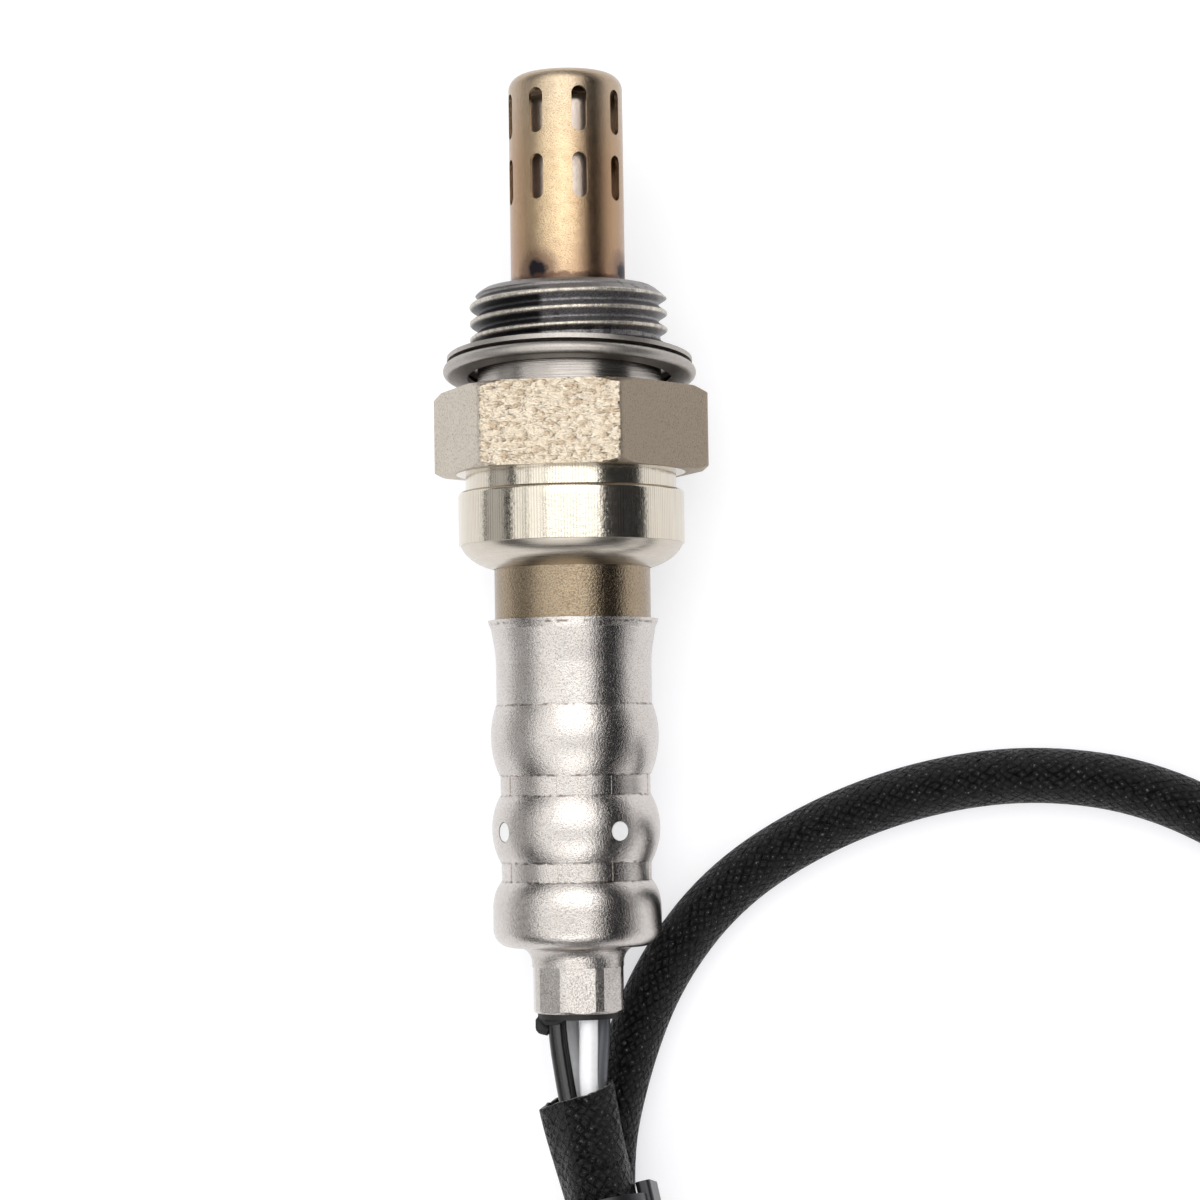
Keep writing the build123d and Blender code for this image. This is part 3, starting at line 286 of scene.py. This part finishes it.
dress(satin_metal("gasket_steel", ((0.38, 0.35, 0.32), (0.47, 0.44, 0.405)), (0.34, 0.48),
                  grain=3.0, depth=0.015, specks=0.25), "gasket")
dress(heat_tinted_tube(), "outer_protection_tube")
dress(satin_metal("inner_tube_steel", ((0.50, 0.42, 0.36), (0.62, 0.55, 0.49)), (0.3, 0.45)),
      "inner_protection_tube")
dress(satin_metal("bronze_tint", ((0.27, 0.205, 0.135), (0.37, 0.295, 0.205)), (0.15, 0.25),
                  grain=5.0, depth=0.042, specks=0.55), "inner_sleeve")
dress(shell_steel(), "outer_shell")
dress(plain("steel_part", (0.5, 0.5, 0.5), 0.35, 1.0), "seal_ring", "lock_ring", "disc_spring")
dress(plain("plated_contact", (0.62, 0.55, 0.4), 0.3, 1.0), "signal_contact", "ground_contact",
      "heater_terminal_1", "heater_terminal_2", "signal_terminal", "ground_terminal",
      "connector_terminals")
dress(plain("ceramic_white", (0.82, 0.8, 0.76), 0.45), "sensing_element", "heater_rod",
      "ceramic_bush", "insulator")
dress(plain("talc", (0.6, 0.58, 0.54), 0.9), "talc_seal")
dress(plain("membrane_white", (0.9, 0.9, 0.9), 0.6), "vent_membrane")
rubber = plain("rubber_black", (0.006, 0.005, 0.005), 0.6)
dress(rubber, "grommet", "connector_boot")
dress(plain("wire_white", (0.95, 0.95, 0.96), 0.3), "wire_white_1", "wire_white_2")
dress(plain("wire_black_finish", (0.008, 0.007, 0.007), 0.22), "wire_black")
dress(plain("wire_grey_finish", (0.13, 0.135, 0.15), 0.35), "wire_grey")
dress(plain("nylon_black", (0.012, 0.012, 0.014), 0.35), "cable_tie")
dress(plain("housing_plastic", (0.05, 0.05, 0.055), 0.45), "connector_housing")
dress(plain("silicone_red", (0.3, 0.07, 0.04), 0.4), "connector_ring_seal")
dress(plain("lock_plastic", (0.45, 0.45, 0.43), 0.4), "connector_terminal_lock")


# ---------------------------------------------------------------- mesh helpers
def surface(name, rings, materials, closed_length=False, pick=None, sharp=32.0):
    """A mesh through rings of points in metres; pick(ring, step) gives a face's material."""
    count, steps = rings.shape[:2]
    faces, slots = [], []
    for ring in range(count if closed_length else count - 1):
        after = (ring + 1) % count
        for step in range(steps):
            beside = (step + 1) % steps
            faces.append((ring * steps + step, ring * steps + beside,
                          after * steps + beside, after * steps + step))
            slots.append(pick(ring, step) if pick else 0)
    mesh = bpy.data.meshes.new(name)
    mesh.from_pydata(rings.reshape(-1, 3).tolist(), [], faces)
    for material in materials:
        mesh.materials.append(material)
    mesh.polygons.foreach_set("material_index", slots)
    mesh.shade_smooth()
    mesh.set_sharp_from_angle(angle=math.radians(sharp))
    return mesh


def show(name, mesh, replaces=None):
    """Put a mesh in the scene as a piece of the sensor."""
    piece = bpy.data.objects.new(name, mesh)
    bpy.context.scene.collection.objects.link(piece)
    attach(piece, "root")
    if replaces:
        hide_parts(replaces)
    return piece


def ease(value, low, high):
    """0 below low, 1 above high, smooth between."""
    t = np.clip((value - low) / (high - low), 0.0, 1.0)
    return t * t * (3 - 2 * t)


# ---------------------------------------------------------------- housing
HEX_R, HEX_HEIGHT = 11.0, 7.5
HEX_CORNER_R = HEX_R / math.cos(math.radians(30))
HEX_TOP_R, HEX_BOTTOM_R = 11.75, 11.96
HEX_SLOPE = math.tan(math.radians(30))
HEX_EDGE = 0.12                    # how far the hexagon's edges are worn round
HEX_FACE_R = 10.4                  # flat part of the hexagon's end faces
THREAD_R, THREAD_DEPTH, PITCH = 9.0, 0.78, 1.5
FIRST_CREST = 8.05                 # station of a crest at the sensor's top
THREAD_START, THREAD_END, LEAD_IN = 4.2, 9.4, 1.1
THREAD_RUN_OUT = 0.5               # nothing is cut below the neck's surface over this length
THREAD_STEP = 0.06                 # mm between the rings of points along the thread
NOSE_R, NOSE_EDGE, NECK_R = 7.7, 0.25, 8.35
NOSE_ROUND, NOSE_ROUND_LENGTH = 0.12, 0.3    # how the nose's cone rounds off at its tip
SPIGOT_R, SPIGOT_BORE_R, SPIGOT_TOP = 4.8, 4.2, 11.5
RING_1_R, RING_1_END = 9.55, -9.1
RING_2_R, RING_2_END, RING_EDGE = 10.25, -13.95, 0.45
LIP_END, LIP_BORE_R, LIP_STEP = -16.15, 7.12, 0.16
LIP_TOP = (RING_2_R - LIP_STEP, RING_2_END - 0.03)
LIP_PULL = (9.45, -15.5)           # radius and station that the lip's bulged cone is drawn towards
LINE_PITCH = 0.27                  # mm between the fine lines along the wide ring
FLANGE_R, FLANGE_TOP, FLANGE_END = 8.2, -12.1, -14.2         # the recess for the sleeve's flange
CAVITY_R, CAVITY_TOP = 5.9, 4.0
# degrees from a corner of the hexagon towards the middle of a flat, closer together at the corner
HALF_FLAT = (0, 0.3, 0.7, 1.2, 2.0, 3.2, 4.8, 6.8, 9, 11.4, 14, 16.6, 19.2, 21.8, 24.4, 27)
FRONT_FLAT_HALF = 29.9             # degrees from the sensor's top to the front flat's edges
# the finishes of the housing's parts, in the order of its materials
THREAD, NECK, FLATS, RINGS, LIP, FRONT_FLAT = range(6)


def hexagon_radius(angle, station):
    """Distance from the axis to the hexagon's side, its corner chamfers included."""
    off = (np.degrees(angle) + 30) % 60 - 30
    side = HEX_R / np.cos(np.radians(off))
    worn = HEX_CORNER_R - HEX_EDGE
    side = np.minimum(side, worn + (side - worn) * 0.35)
    top = HEX_TOP_R - station / HEX_SLOPE
    bottom = HEX_BOTTOM_R + (HEX_HEIGHT + station) / HEX_SLOPE
    return np.minimum(side, np.minimum(top, bottom))


def thread_radius(angle, station):
    """The thread's worn crests and roots along its helix, and the nose's lead-in cone."""
    turn = (station - FIRST_CREST) / PITCH - angle / (2 * math.pi)
    wave = np.abs((turn + 0.5) % 1.0 - 0.5) * 2          # 0 on a crest, 1 in a root
    groove = THREAD_DEPTH * ease(wave, 0.10, 0.98) ** 0.8
    radius = THREAD_R - INSIDE - groove
    start = THREAD_START + THREAD_RUN_OUT
    radius = np.where(station < start, np.maximum(radius, NECK_R), radius)
    cone = NOSE_R + (THREAD_END - station) / LEAD_IN * (THREAD_R - NOSE_R)
    cone = cone - NOSE_ROUND * ease(station, THREAD_END - NOSE_ROUND_LENGTH, THREAD_END)
    return np.minimum(radius, cone)


def make_housing(materials):
    """The housing in one closed mesh, ring by ring from the spigot's tip and back up the bore."""
    half = np.array(HALF_FLAT)
    sector = np.concatenate([half, [30], 60 - half[:0:-1]])
    angles = np.radians(np.concatenate([30 + 60 * k + sector for k in range(6)]))
    rings, zones = [], []

    def ring(radius, station, zone):
        radius = np.broadcast_to(radius, angles.shape)
        x, y = radius * np.sin(angles), -radius * np.cos(angles)
        rings.append(place(np.stack([x, y, np.full(len(angles), station)], 1)))
        zones.append(zone)

    ring(SPIGOT_BORE_R, SPIGOT_TOP, THREAD)
    ring(SPIGOT_R, SPIGOT_TOP, THREAD)
    ring(SPIGOT_R, THREAD_END + 0.05, THREAD)
    ring(NOSE_R - NOSE_EDGE, THREAD_END, THREAD)
    for station in np.arange(THREAD_END - 0.04, THREAD_START - 0.01, -THREAD_STEP):
        ring(thread_radius(angles, station), station, THREAD)
    for station in (4.1, 3.0, 1.5, 0.25, 0.0):
        ring(NECK_R, station, NECK)
    ring(HEX_FACE_R, 0.0, NECK)
    near_end = np.arange(0, 0.66, 0.06)          # the chamfers need rings close together
    for station in [*-near_end, -1.2, -2.4, -3.6, -4.8, -6.0, *(-HEX_HEIGHT + near_end[::-1])]:
        ring(hexagon_radius(angles, station), station, FLATS)
    ring(HEX_FACE_R, -HEX_HEIGHT, RINGS)
    for station in (-HEX_HEIGHT, -8.3, RING_1_END):
        ring(RING_1_R, station, RINGS)
    for turn in np.radians(np.arange(0, 91, 15)):
        ring(RING_2_R - RING_EDGE * (1 - math.sin(turn)),
             RING_1_END - RING_EDGE * (1 - math.cos(turn)), RINGS)
    for station in (-10.2, -11.5, -12.8, -13.6, RING_2_END):
        ring(RING_2_R, station, RINGS)
    for share in np.linspace(0, 1, 11):
        radius, station = ((1 - share) ** 2 * np.array(LIP_TOP)
                           + 2 * share * (1 - share) * np.array(LIP_PULL)
                           + share ** 2 * np.array([LIP_BORE_R, LIP_END]))
        ring(radius, station, LIP)
    for radius, station in (
        (LIP_BORE_R, FLANGE_END), (FLANGE_R, FLANGE_END), (FLANGE_R, FLANGE_TOP),
        (CAVITY_R, FLANGE_TOP), (CAVITY_R, CAVITY_TOP), (SPIGOT_BORE_R, CAVITY_TOP),
        (SPIGOT_BORE_R, SPIGOT_TOP),
    ):
        ring(radius, station, NECK)

    def pick(number, step):
        zone = zones[number]
        facing = abs((math.degrees(angles[step]) + 180) % 360 - 180) < FRONT_FLAT_HALF
        return FRONT_FLAT if zone == FLATS and facing else zone

    return surface("housing_body", np.array(rings), materials, closed_length=True, pick=pick)


def thread_steel():
    """Dark worn steel: bright crests, dull flanks and patches of anti-seize paste."""
    g = Graph("thread_steel")
    angle, s, radius = g.axial()
    spot = g.place_mm()
    fine = g.noise(spot, 5.0, 6.0, 0.65)
    patch = g.noise(spot, 0.75, 3.0, 0.5)
    scrape = g.noise(g.combine(g.math("MULTIPLY", angle, 22.0), s, 0.0), 0.8, 4.0, 0.6)
    dull = g.ramp(fine, (0.3, (0.10, 0.095, 0.10)), (0.52, (0.22, 0.21, 0.215)),
                  (0.72, (0.40, 0.39, 0.385)))
    nose = g.mix(g.spread(fine, 0.3, 0.7, 0.0, 1.0), (0.20, 0.19, 0.185), (0.32, 0.30, 0.29))
    dull = g.mix(g.spread(s, 8.15, 8.5, 0.0, 0.9), dull, nose)
    paste = g.ramp(patch, (0.62, (0, 0, 0)), (0.66, (0.6, 0.6, 0.6)))
    left = g.math("MULTIPLY", g.spread(angle, -0.10, -0.16, 0.0, 1.0), g.spread(s, 8.6, 8.4, 0.0, 1.0))
    groove = g.spread(radius, 8.82, 8.72, 0.0, 1.0)
    black = g.math("MULTIPLY", g.math("MAXIMUM", left, paste, clamp=True), groove)
    crest = g.math("MULTIPLY", g.spread(radius, 8.84, 8.95, 0.0, 1.0),
                   g.spread(scrape, 0.35, 0.6, 0.35, 1.0))
    colour = g.mix(crest, dull, (0.62, 0.57, 0.48))
    colour = g.mix(g.math("MULTIPLY", black, 0.85), colour, (0.012, 0.011, 0.013))
    rough = g.math("ADD", g.spread(fine, 0.3, 0.7, 0.3, 0.5), g.math("MULTIPLY", crest, -0.12))
    return g.finish(colour, 0.9, rough, g.bump(fine, 0.05 * MM))


def hammered_nickel():
    """Pale champagne plate of the front flat, hammered all over, with painted shade in the dents' hollows.
    """
    g = Graph("nickel_front")
    spot = g.place_mm()
    grain = g.noise(spot, 5.5, 5.0, 0.6)
    stretched = g.vector_math("MULTIPLY", spot, (0.75, 1.45, 1.0)).outputs[0]
    swell = g.noise(stretched, 1.5, 3.0, 0.5)
    # painted shade: the hollows of the hammered dents darkened to tan
    low = g.spread(swell, 0.36, 0.52, 0.7, 0.0)
    colour = g.mix(g.noise(spot, 0.35, 3.0), (0.52, 0.44, 0.335), (0.59, 0.52, 0.42))
    colour = g.mix(low, colour, (0.36, 0.26, 0.17))
    normal = g.bump(swell, 0.42 * MM, under=g.bump(grain, 0.02 * MM))
    return g.finish(colour, 1.0, 0.28, normal)


def cast_nickel():
    """The same plate on the other flats: cast grain and pits, with painted shade that browns the flats
    towards +X.
    """
    g = Graph("nickel_side")
    angle = g.axial()[0]
    spot = g.place_mm()
    grain = g.noise(spot, 5.5, 5.0, 0.6)
    colour = g.mix(g.noise(spot, 0.35, 3.0), (0.58, 0.52, 0.44), (0.67, 0.615, 0.53))
    # painted shade: darker brown towards +X, standing in for the darker reflection on that side
    colour = g.mix(g.spread(g.math("SINE", angle), 0.2, 0.5, 0.0, 0.85), colour, (0.33, 0.265, 0.195))
    pits = g.ramp(grain, (0.36, (0.7, 0.7, 0.7)), (0.50, (0, 0, 0)))
    colour = g.mix(pits, colour, (0.22, 0.175, 0.125))
    return g.finish(colour, 1.0, g.spread(grain, 0.3, 0.7, 0.42, 0.58), g.bump(grain, 0.07 * MM))


def ring_mirror():
    """Bright plate with fine lines along the axis and a trace of grain."""
    g = Graph("ring_mirror")
    angle, s, _ = g.axial()
    spot = g.place_mm()
    wander = g.noise(g.combine(g.math("MULTIPLY", angle, 14.0), g.math("MULTIPLY", s, 0.08), 0.0), 1.0, 2.0)
    arc = g.math("ADD", g.math("MULTIPLY", angle, 2 * math.pi * RING_2_R / LINE_PITCH),
                 g.math("MULTIPLY", wander, 5.0))
    line = g.math("POWER", g.math("ABSOLUTE", g.math("SINE", g.math("MULTIPLY", arc, 0.5))), 9.0)
    dark = g.math("MULTIPLY", line, g.spread(wander, 0.35, 0.6, 0.15, 0.6))
    grain = g.noise(spot, 3.2, 3.0, 0.5)
    specks = g.ramp(g.noise(spot, 9.0, 2.0), (0.70, (0, 0, 0)), (0.76, (1, 1, 1)))
    colour = g.mix(g.noise(spot, 0.4, 2.0), (0.60, 0.545, 0.455), (0.67, 0.62, 0.53))
    colour = g.mix(dark, colour, (0.30, 0.25, 0.20))
    colour = g.mix(g.math("MULTIPLY", specks, 0.5), colour, (0.90, 0.88, 0.83))
    return g.finish(colour, 1.0, g.spread(grain, 0.3, 0.7, 0.13, 0.21), g.bump(grain, 0.012 * MM))


def lip_mirror():
    """The rolled lip under the wide ring: drawn smooth, with faint marks round it."""
    g = Graph("lip_mirror")
    angle, s, radius = g.axial()
    lines = g.noise(g.combine(angle, g.math("MULTIPLY", radius, 9.0), s), 1.0, 3.0)
    colour = g.mix(g.noise(g.place_mm(), 0.5, 2.0), (0.52, 0.47, 0.40), (0.62, 0.57, 0.50))
    return g.finish(colour, 1.0, g.spread(lines, 0.3, 0.7, 0.24, 0.34), g.bump(lines, 0.004 * MM))


def neck_steel():
    """Turned steel of the neck and the bores: fine lines round the axis, slow changes of colour."""
    g = Graph("neck_steel")
    angle, s, radius = g.axial()
    rings = g.noise(g.combine(g.math("MULTIPLY", angle, 0.5), g.math("MULTIPLY", s, 9.0), radius), 1.0, 5.0)
    cloud = g.noise(g.combine(g.math("MULTIPLY", angle, 1.5), g.math("MULTIPLY", s, 0.35), 0.0), 1.0, 3.0)
    colour = g.mix(cloud, (0.30, 0.275, 0.25), (0.48, 0.45, 0.42))
    return g.finish(colour, 1.0, g.spread(rings, 0.3, 0.7, 0.18, 0.3), g.bump(rings, 0.02 * MM))


show("housing_body", make_housing([
    thread_steel(), neck_steel(), cast_nickel(), ring_mirror(), lip_mirror(), hammered_nickel(),
]), "housing")

# ---------------------------------------------------------------- the braided lead
# the mouth and the route are in mm in the row frame
CORD_D = 5.0
MOUTH = (0.3, -50.1, 8.6)
CORD_ROUTE = [
    MOUTH, (1.22, -53.87, 8.99),
    (4.4, -67.0, 10.3), (4.2, -80.5, 7.2), (9.0, -93.0, 3.6), (18.8, -103.0, 2.55),
    (32.5, -109.0, 2.55), (47.5, -109.0, 2.55), (61.0, -103.0, 2.55), (72.0, -93.0, 2.55),
    (79.5, -80.0, 2.55), (81.8, -66.0, 2.55), (79.0, -51.5, 2.55), (71.2, -38.6, 2.55),
    (61.3, -27.6, 2.55), (51.4, -22.3, 2.55), (41.1, -20.7, 2.55), (31.0, -21.9, 2.55),
    (21.4, -25.3, 2.55), (12.9, -30.6, 2.55), (7.0, -37.9, 2.55), (3.7, -45.8, 2.6),
    (1.6, -55.6, 3.72), (3.2, -68.0, 3.82), (8.9, -78.2, 2.9), (18.2, -84.5, 2.9),
    (29.0, -87.0, 4.6), (40.0, -86.8, 6.2),       # ends inside the boot
]
MOUTH_R, MOUTH_WALL, MOUTH_DEPTH, MOUTH_RISE = 3.5, 0.35, 4.0, 0.6
MOUTH_NARROWS = 0.25               # the opening is narrower by this at its bottom
MOUTH_TILT = (0.08, 0.2125)        # how the cut end leans: mm along per mm left, per mm up
SLANT_END = 5.0                    # the slant has faded away at this station
FRAY, FRAY_WAVE = 0.05, 0.10       # how ragged the cut edge is, at random and in waves
RIM_ROUND = 0.09                   # the middle of the rim stands out this far
TIED_R, TAPER_START, TAPER_END = 3.15, 11.9, 15.0
CREASE = 0.06                      # how deep the sleeve is creased up to the cable tie
CLOSED_R = 0.05                    # radius of the rings that close the two ends
ROUND = 48                         # points round the braid
CUT_RING = 5                       # the number of the ring of points along the cut edge
BRAID_CELL = 0.80                  # mm across one cell of the braid
BRAID_LEAN = 0.72                  # how far the strands lean from straight round
STRANDS = 4                        # threads in a cell


def nurbs_points(name, points, steps=16):
    """Points in mm along a smooth spline that has these control points."""
    data = bpy.data.curves.new(name, "CURVE")
    data.dimensions = "3D"
    spline = data.splines.new("NURBS")
    spline.points.add(len(points) - 1)
    for control, point in zip(spline.points, points):
        control.co = (*[c * MM for c in point], 1.0)
    spline.order_u = 3
    spline.use_endpoint_u = True
    data.resolution_u = steps
    holder = bpy.data.objects.new(name, data)
    bpy.context.scene.collection.objects.link(holder)
    line = bpy.data.meshes.new_from_object(holder)
    found = np.array([v.co[:] for v in line.vertices]) / MM
    bpy.data.objects.remove(holder)
    bpy.data.curves.remove(data)
    bpy.data.meshes.remove(line)
    return found


def frames_along(points, up=(0, 0, 1)):
    """Station, direction, and two sideways directions that don't twist, for each point."""
    steps = np.diff(points, axis=0)
    along = np.concatenate([[0], np.cumsum(np.linalg.norm(steps, axis=1))])
    ways = np.gradient(points, along, axis=0)
    ways /= np.linalg.norm(ways, axis=1)[:, None]
    side = np.cross(ways[0], up)
    sides = []
    for way in ways:
        side = side - way * side.dot(way)
        side = side / np.linalg.norm(side)
        sides.append(side)
    sides = np.array(sides)
    return along, ways, sides, np.cross(sides, ways)


def give(mesh, name, values):
    """A number for each vertex, which a material can read."""
    layer = mesh.attributes.new(name, "FLOAT", "POINT")
    layer.data.foreach_set("value", np.asarray(values, np.float32).ravel())


def braid_material():
    """Tubular braid: strands crossing over and under at an angle, with a dull sheen, painted glints on the
    strands' tops and painted shade in the grooves between cells.
    """
    g = Graph("black_braid")
    along, around, rim = (g.add("ShaderNodeAttribute", attribute_name=name).outputs["Fac"]
                          for name in ("along", "around", "rim"))
    spot = g.place_mm()
    sway = g.math("MULTIPLY", g.math("SUBTRACT", g.noise(spot, 0.9, 4.0), 0.5), 1.5)
    lean = g.math("MULTIPLY", g.math("ADD", along, sway), BRAID_LEAN)
    u = g.math("DIVIDE", g.math("ADD", lean, around), BRAID_CELL)
    v = g.math("DIVIDE", g.math("SUBTRACT", lean, around), BRAID_CELL)
    over = g.math("MODULO", g.math("ABSOLUTE", g.math("ADD", g.math("FLOOR", u), g.math("FLOOR", v))), 2.0)
    arch_u = g.math("SINE", g.math("MULTIPLY", g.math("FRACT", u), math.pi))
    arch_v = g.math("SINE", g.math("MULTIPLY", g.math("FRACT", v), math.pi))
    pillow = g.math("MULTIPLY", g.math("POWER", arch_u, 0.6), g.math("POWER", arch_v, 0.6))
    thread_u = g.math("SINE", g.math("MULTIPLY", u, 2 * math.pi * STRANDS))
    thread_v = g.math("SINE", g.math("MULTIPLY", v, 2 * math.pi * STRANDS))
    strands = g.math("ADD", g.math("MULTIPLY", thread_v, over),
                     g.math("MULTIPLY", thread_u, g.math("SUBTRACT", 1.0, over)))
    height = g.math("ADD", pillow, g.math("MULTIPLY", strands, 0.10))
    worn = g.noise(spot, 1.3, 5.0, 0.6)
    # painted highlight: pale glints on the tops of the strands
    painted_glint = g.math("MULTIPLY", g.ramp(g.noise(spot, 3.6, 4.0, 0.6), (0.56, (0, 0, 0)), (0.66, (1, 1, 1))),
                   g.spread(height, 0.75, 1.05, 0.0, 1.0))
    # painted shade: the grooves between the cells darker than their tops
    colour = g.mix(g.spread(pillow, 0.1, 0.9, 0.0, 1.0), (0.001, 0.001, 0.001), (0.008, 0.0075, 0.008))
    colour = g.mix(g.math("MULTIPLY", painted_glint, 0.9), colour, (0.20, 0.19, 0.19))
    pale = g.math("MULTIPLY", rim, g.spread(worn, 0.35, 0.6, 0.3, 1.0))
    colour = g.mix(pale, colour, (0.26, 0.24, 0.23))
    g.feed(g.shader.inputs["Specular IOR Level"], 0.22)
    return g.finish(colour, 0.0, g.spread(worn, 0.3, 0.7, 0.30, 0.55), g.bump(height, 0.28 * MM))


def make_braid():
    """The braid's tube: a slanted, widened and hollow cut end, then the plain lead."""
    line = nurbs_points("lead_line", CORD_ROUTE)
    along, ways, sides, ups = frames_along(line)
    rng = np.random.default_rng(7)
    turn = np.linspace(0, 2 * math.pi, ROUND, endpoint=False)
    frayed = rng.normal(-MOUTH_RISE, FRAY, ROUND) + FRAY_WAVE * np.sin(3 * turn + 1.0)
    inner = MOUTH_R - MOUTH_WALL
    rings, stations, arounds = [], [], []

    def ring(number, radius, cut=0.0, shift=0.0):
        across, rise = radius * np.cos(turn), radius * np.sin(turn)
        slide = shift + cut * (MOUTH_TILT[0] * across + MOUTH_TILT[1] * rise + frayed)
        points = (line[number] + np.outer(across, sides[number]) + np.outer(rise, ups[number])
                  + np.outer(slide, ways[number]))
        rings.append(points * MM)
        stations.append(along[number] + slide)
        arounds.append(turn * CORD_D / 2)

    deep = int(np.searchsorted(along, MOUTH_DEPTH))
    ring(deep, CLOSED_R)
    ring(deep, inner - MOUTH_NARROWS)
    for part in (0.6, 0.3, 0.0):
        ring(int(round(deep * part)), inner - MOUTH_NARROWS * part, cut=1 - part)
    ring(0, inner + MOUTH_WALL * 0.5, cut=1.0, shift=-RIM_ROUND)
    fold = rng.normal(0, 1.0, 4)
    for number, station in enumerate(along):
        if number % 2 and station > TAPER_END and number < len(line) - 1:
            continue
        widen = 1 - ease(station, 0.0, TAPER_START - 2)
        taper = ease(station, TAPER_START, TAPER_END)
        radius = TIED_R + (MOUTH_R - TIED_R) * widen
        radius = radius * (1 - taper) + CORD_D / 2 * taper
        crease = sum(f * np.sin((k + 2) * turn + k + 0.25 * station) for k, f in enumerate(fold))
        radius = radius + CREASE * crease * (1 - taper)
        ring(number, radius - INSIDE, cut=1 - ease(station, 0.0, SLANT_END))
    ring(len(line) - 1, CLOSED_R)
    mesh = surface("braided_lead", np.array(rings), [braid_material()])
    give(mesh, "rim", np.repeat(np.arange(len(rings)) == CUT_RING, ROUND))
    give(mesh, "along", np.concatenate([np.broadcast_to(s, ROUND) for s in stations]))
    give(mesh, "around", np.concatenate(arounds))
    return mesh, line


braid_mesh, lead_line = make_braid()
braid = show("braided_lead", braid_mesh, "braided_sleeve")
[tuple(p) for p in lead_line * MM]

# ---------------------------------------------------------------- torn rubber at the grommet
# places on the sensor's axes, each with the rubber's half thickness there
TEARS = [
    [((-3.1, -1.0, -56.3), 0.30), ((-3.3, -1.1, -56.8), 0.50), ((-3.25, -1.2, -57.2), 0.55),
     ((-3.0, -1.2, -57.6), 0.65), ((-3.1, -1.3, -58.0), 0.40)],
    [((-3.2, -1.3, -56.5), 0.35), ((-2.5, -1.8, -56.8), 0.45), ((-1.7, -2.1, -56.75), 0.40),
     ((-0.9, -2.3, -56.6), 0.25)],
]
TEAR_STEPS = 14                    # points round a flap
TEAR_FLAT = 0.8                    # a flap's thickness one way, as a share of the other


def make_tear(places, rng):
    """A small ragged flap of rubber at the grommet's left edge."""
    centres = np.array([centre for centre, thick in places])
    sides, ups = frames_along(centres, (0, 1, 0.2))[2:]
    turn = np.linspace(0, 2 * math.pi, TEAR_STEPS, endpoint=False)
    rings = []
    for (centre, thick), side, up in zip(places, sides, ups):
        ragged = thick * (1 + rng.normal(0, 0.15, TEAR_STEPS))
        rings.append(place(centre + np.outer(ragged * np.cos(turn), side)
                           + np.outer(TEAR_FLAT * ragged * np.sin(turn), up)))
    tips = [np.tile(ring.mean(axis=0), (TEAR_STEPS, 1)) for ring in (rings[0], rings[-1])]
    mesh = surface("grommet_tear", np.array([tips[0], *rings, tips[1]]), [rubber], sharp=25.0)
    bm = bmesh.new()
    bm.from_mesh(mesh)
    bmesh.ops.remove_doubles(bm, verts=bm.verts, dist=1e-7)
    bm.to_mesh(mesh)
    bm.free()
    return mesh


tear_rng = np.random.default_rng(11)
for number, places in enumerate(TEARS, 1):
    show(f"grommet_tear_{number}", make_tear(places, tear_rng))

# ---------------------------------------------------------------- floor and light
FLOOR_HALF = 6.0
FLOOR_GLOW = 0.62                  # a light table, as under most shots on white
LAMPS_UP = 0.9
# name, x from and to, y from and to, radiance
PANELS = [
    ("softbox_top", -0.265, 0.73, -0.024, 0.86, 2.5),
    ("ceiling_gap", -0.265, 0.73, -0.42, -0.024, 0.95),
    ("softbox_low", -0.265, 0.73, -1.21, -0.42, 2.2),
    ("panel_left_near", -0.645, -0.295, -1.21, 0.86, 1.6),
    ("panel_left_far", -1.14, -0.70, -1.21, 0.86, 1.35),
    ("wall_back", -1.14, 0.73, 0.87, 2.6, 1.1),
    ("wall_front", -1.14, 0.73, -3.0, -1.22, 0.9),
]
ROOM_LIGHT = 0.04                  # what the surroundings give without any lamp

floor_mesh = bpy.data.meshes.new("floor")
floor_mesh.from_pydata(
    [(-FLOOR_HALF, -FLOOR_HALF, 0), (FLOOR_HALF, -FLOOR_HALF, 0),
     (FLOOR_HALF, FLOOR_HALF, 0), (-FLOOR_HALF, FLOOR_HALF, 0)], [], [(0, 1, 2, 3)],
)
floor = bpy.data.objects.new("floor", floor_mesh)
bpy.context.scene.collection.objects.link(floor)
table = plain("floor_white", (0.5, 0.5, 0.505), 0.7, depth=0.0001)
shader = table.node_tree.nodes["Principled BSDF"]
shader.inputs["Emission Color"].default_value = (0.98, 0.98, 1.0, 1.0)
shader.inputs["Emission Strength"].default_value = FLOOR_GLOW
floor_mesh.materials.append(table)


def softbox(name, centre, size, radiance, aim):
    """A rectangular lamp; its power follows from its size and how bright it looks."""
    data = bpy.data.lights.new(name, "AREA")
    data.shape = "RECTANGLE"
    data.size, data.size_y = size
    data.energy = radiance * math.pi * size[0] * size[1]
    light = bpy.data.objects.new(name, data)
    light.location = centre
    direction = Vector(aim) - Vector(centre)
    light.rotation_euler = direction.to_track_quat("-Z", "Y").to_euler()
    bpy.context.scene.collection.objects.link(light)


for name, x0, x1, y0, y1, radiance in PANELS:
    middle = ((x0 + x1) / 2, (y0 + y1) / 2)
    softbox(name, (*middle, LAMPS_UP), (x1 - x0, y1 - y0), radiance, aim=(*middle, 0))
softbox("side_wall", (-1.8, 0, 0.56), (2.0, 0.86), 0.55, aim=(0, 0, 0.56))

world = bpy.data.worlds.new("studio")
world.use_nodes = True
background = world.node_tree.nodes["Background"]
background.inputs["Color"].default_value = (0.9, 0.92, 1.0, 1.0)
background.inputs["Strength"].default_value = ROOM_LIGHT
bpy.context.scene.world = world
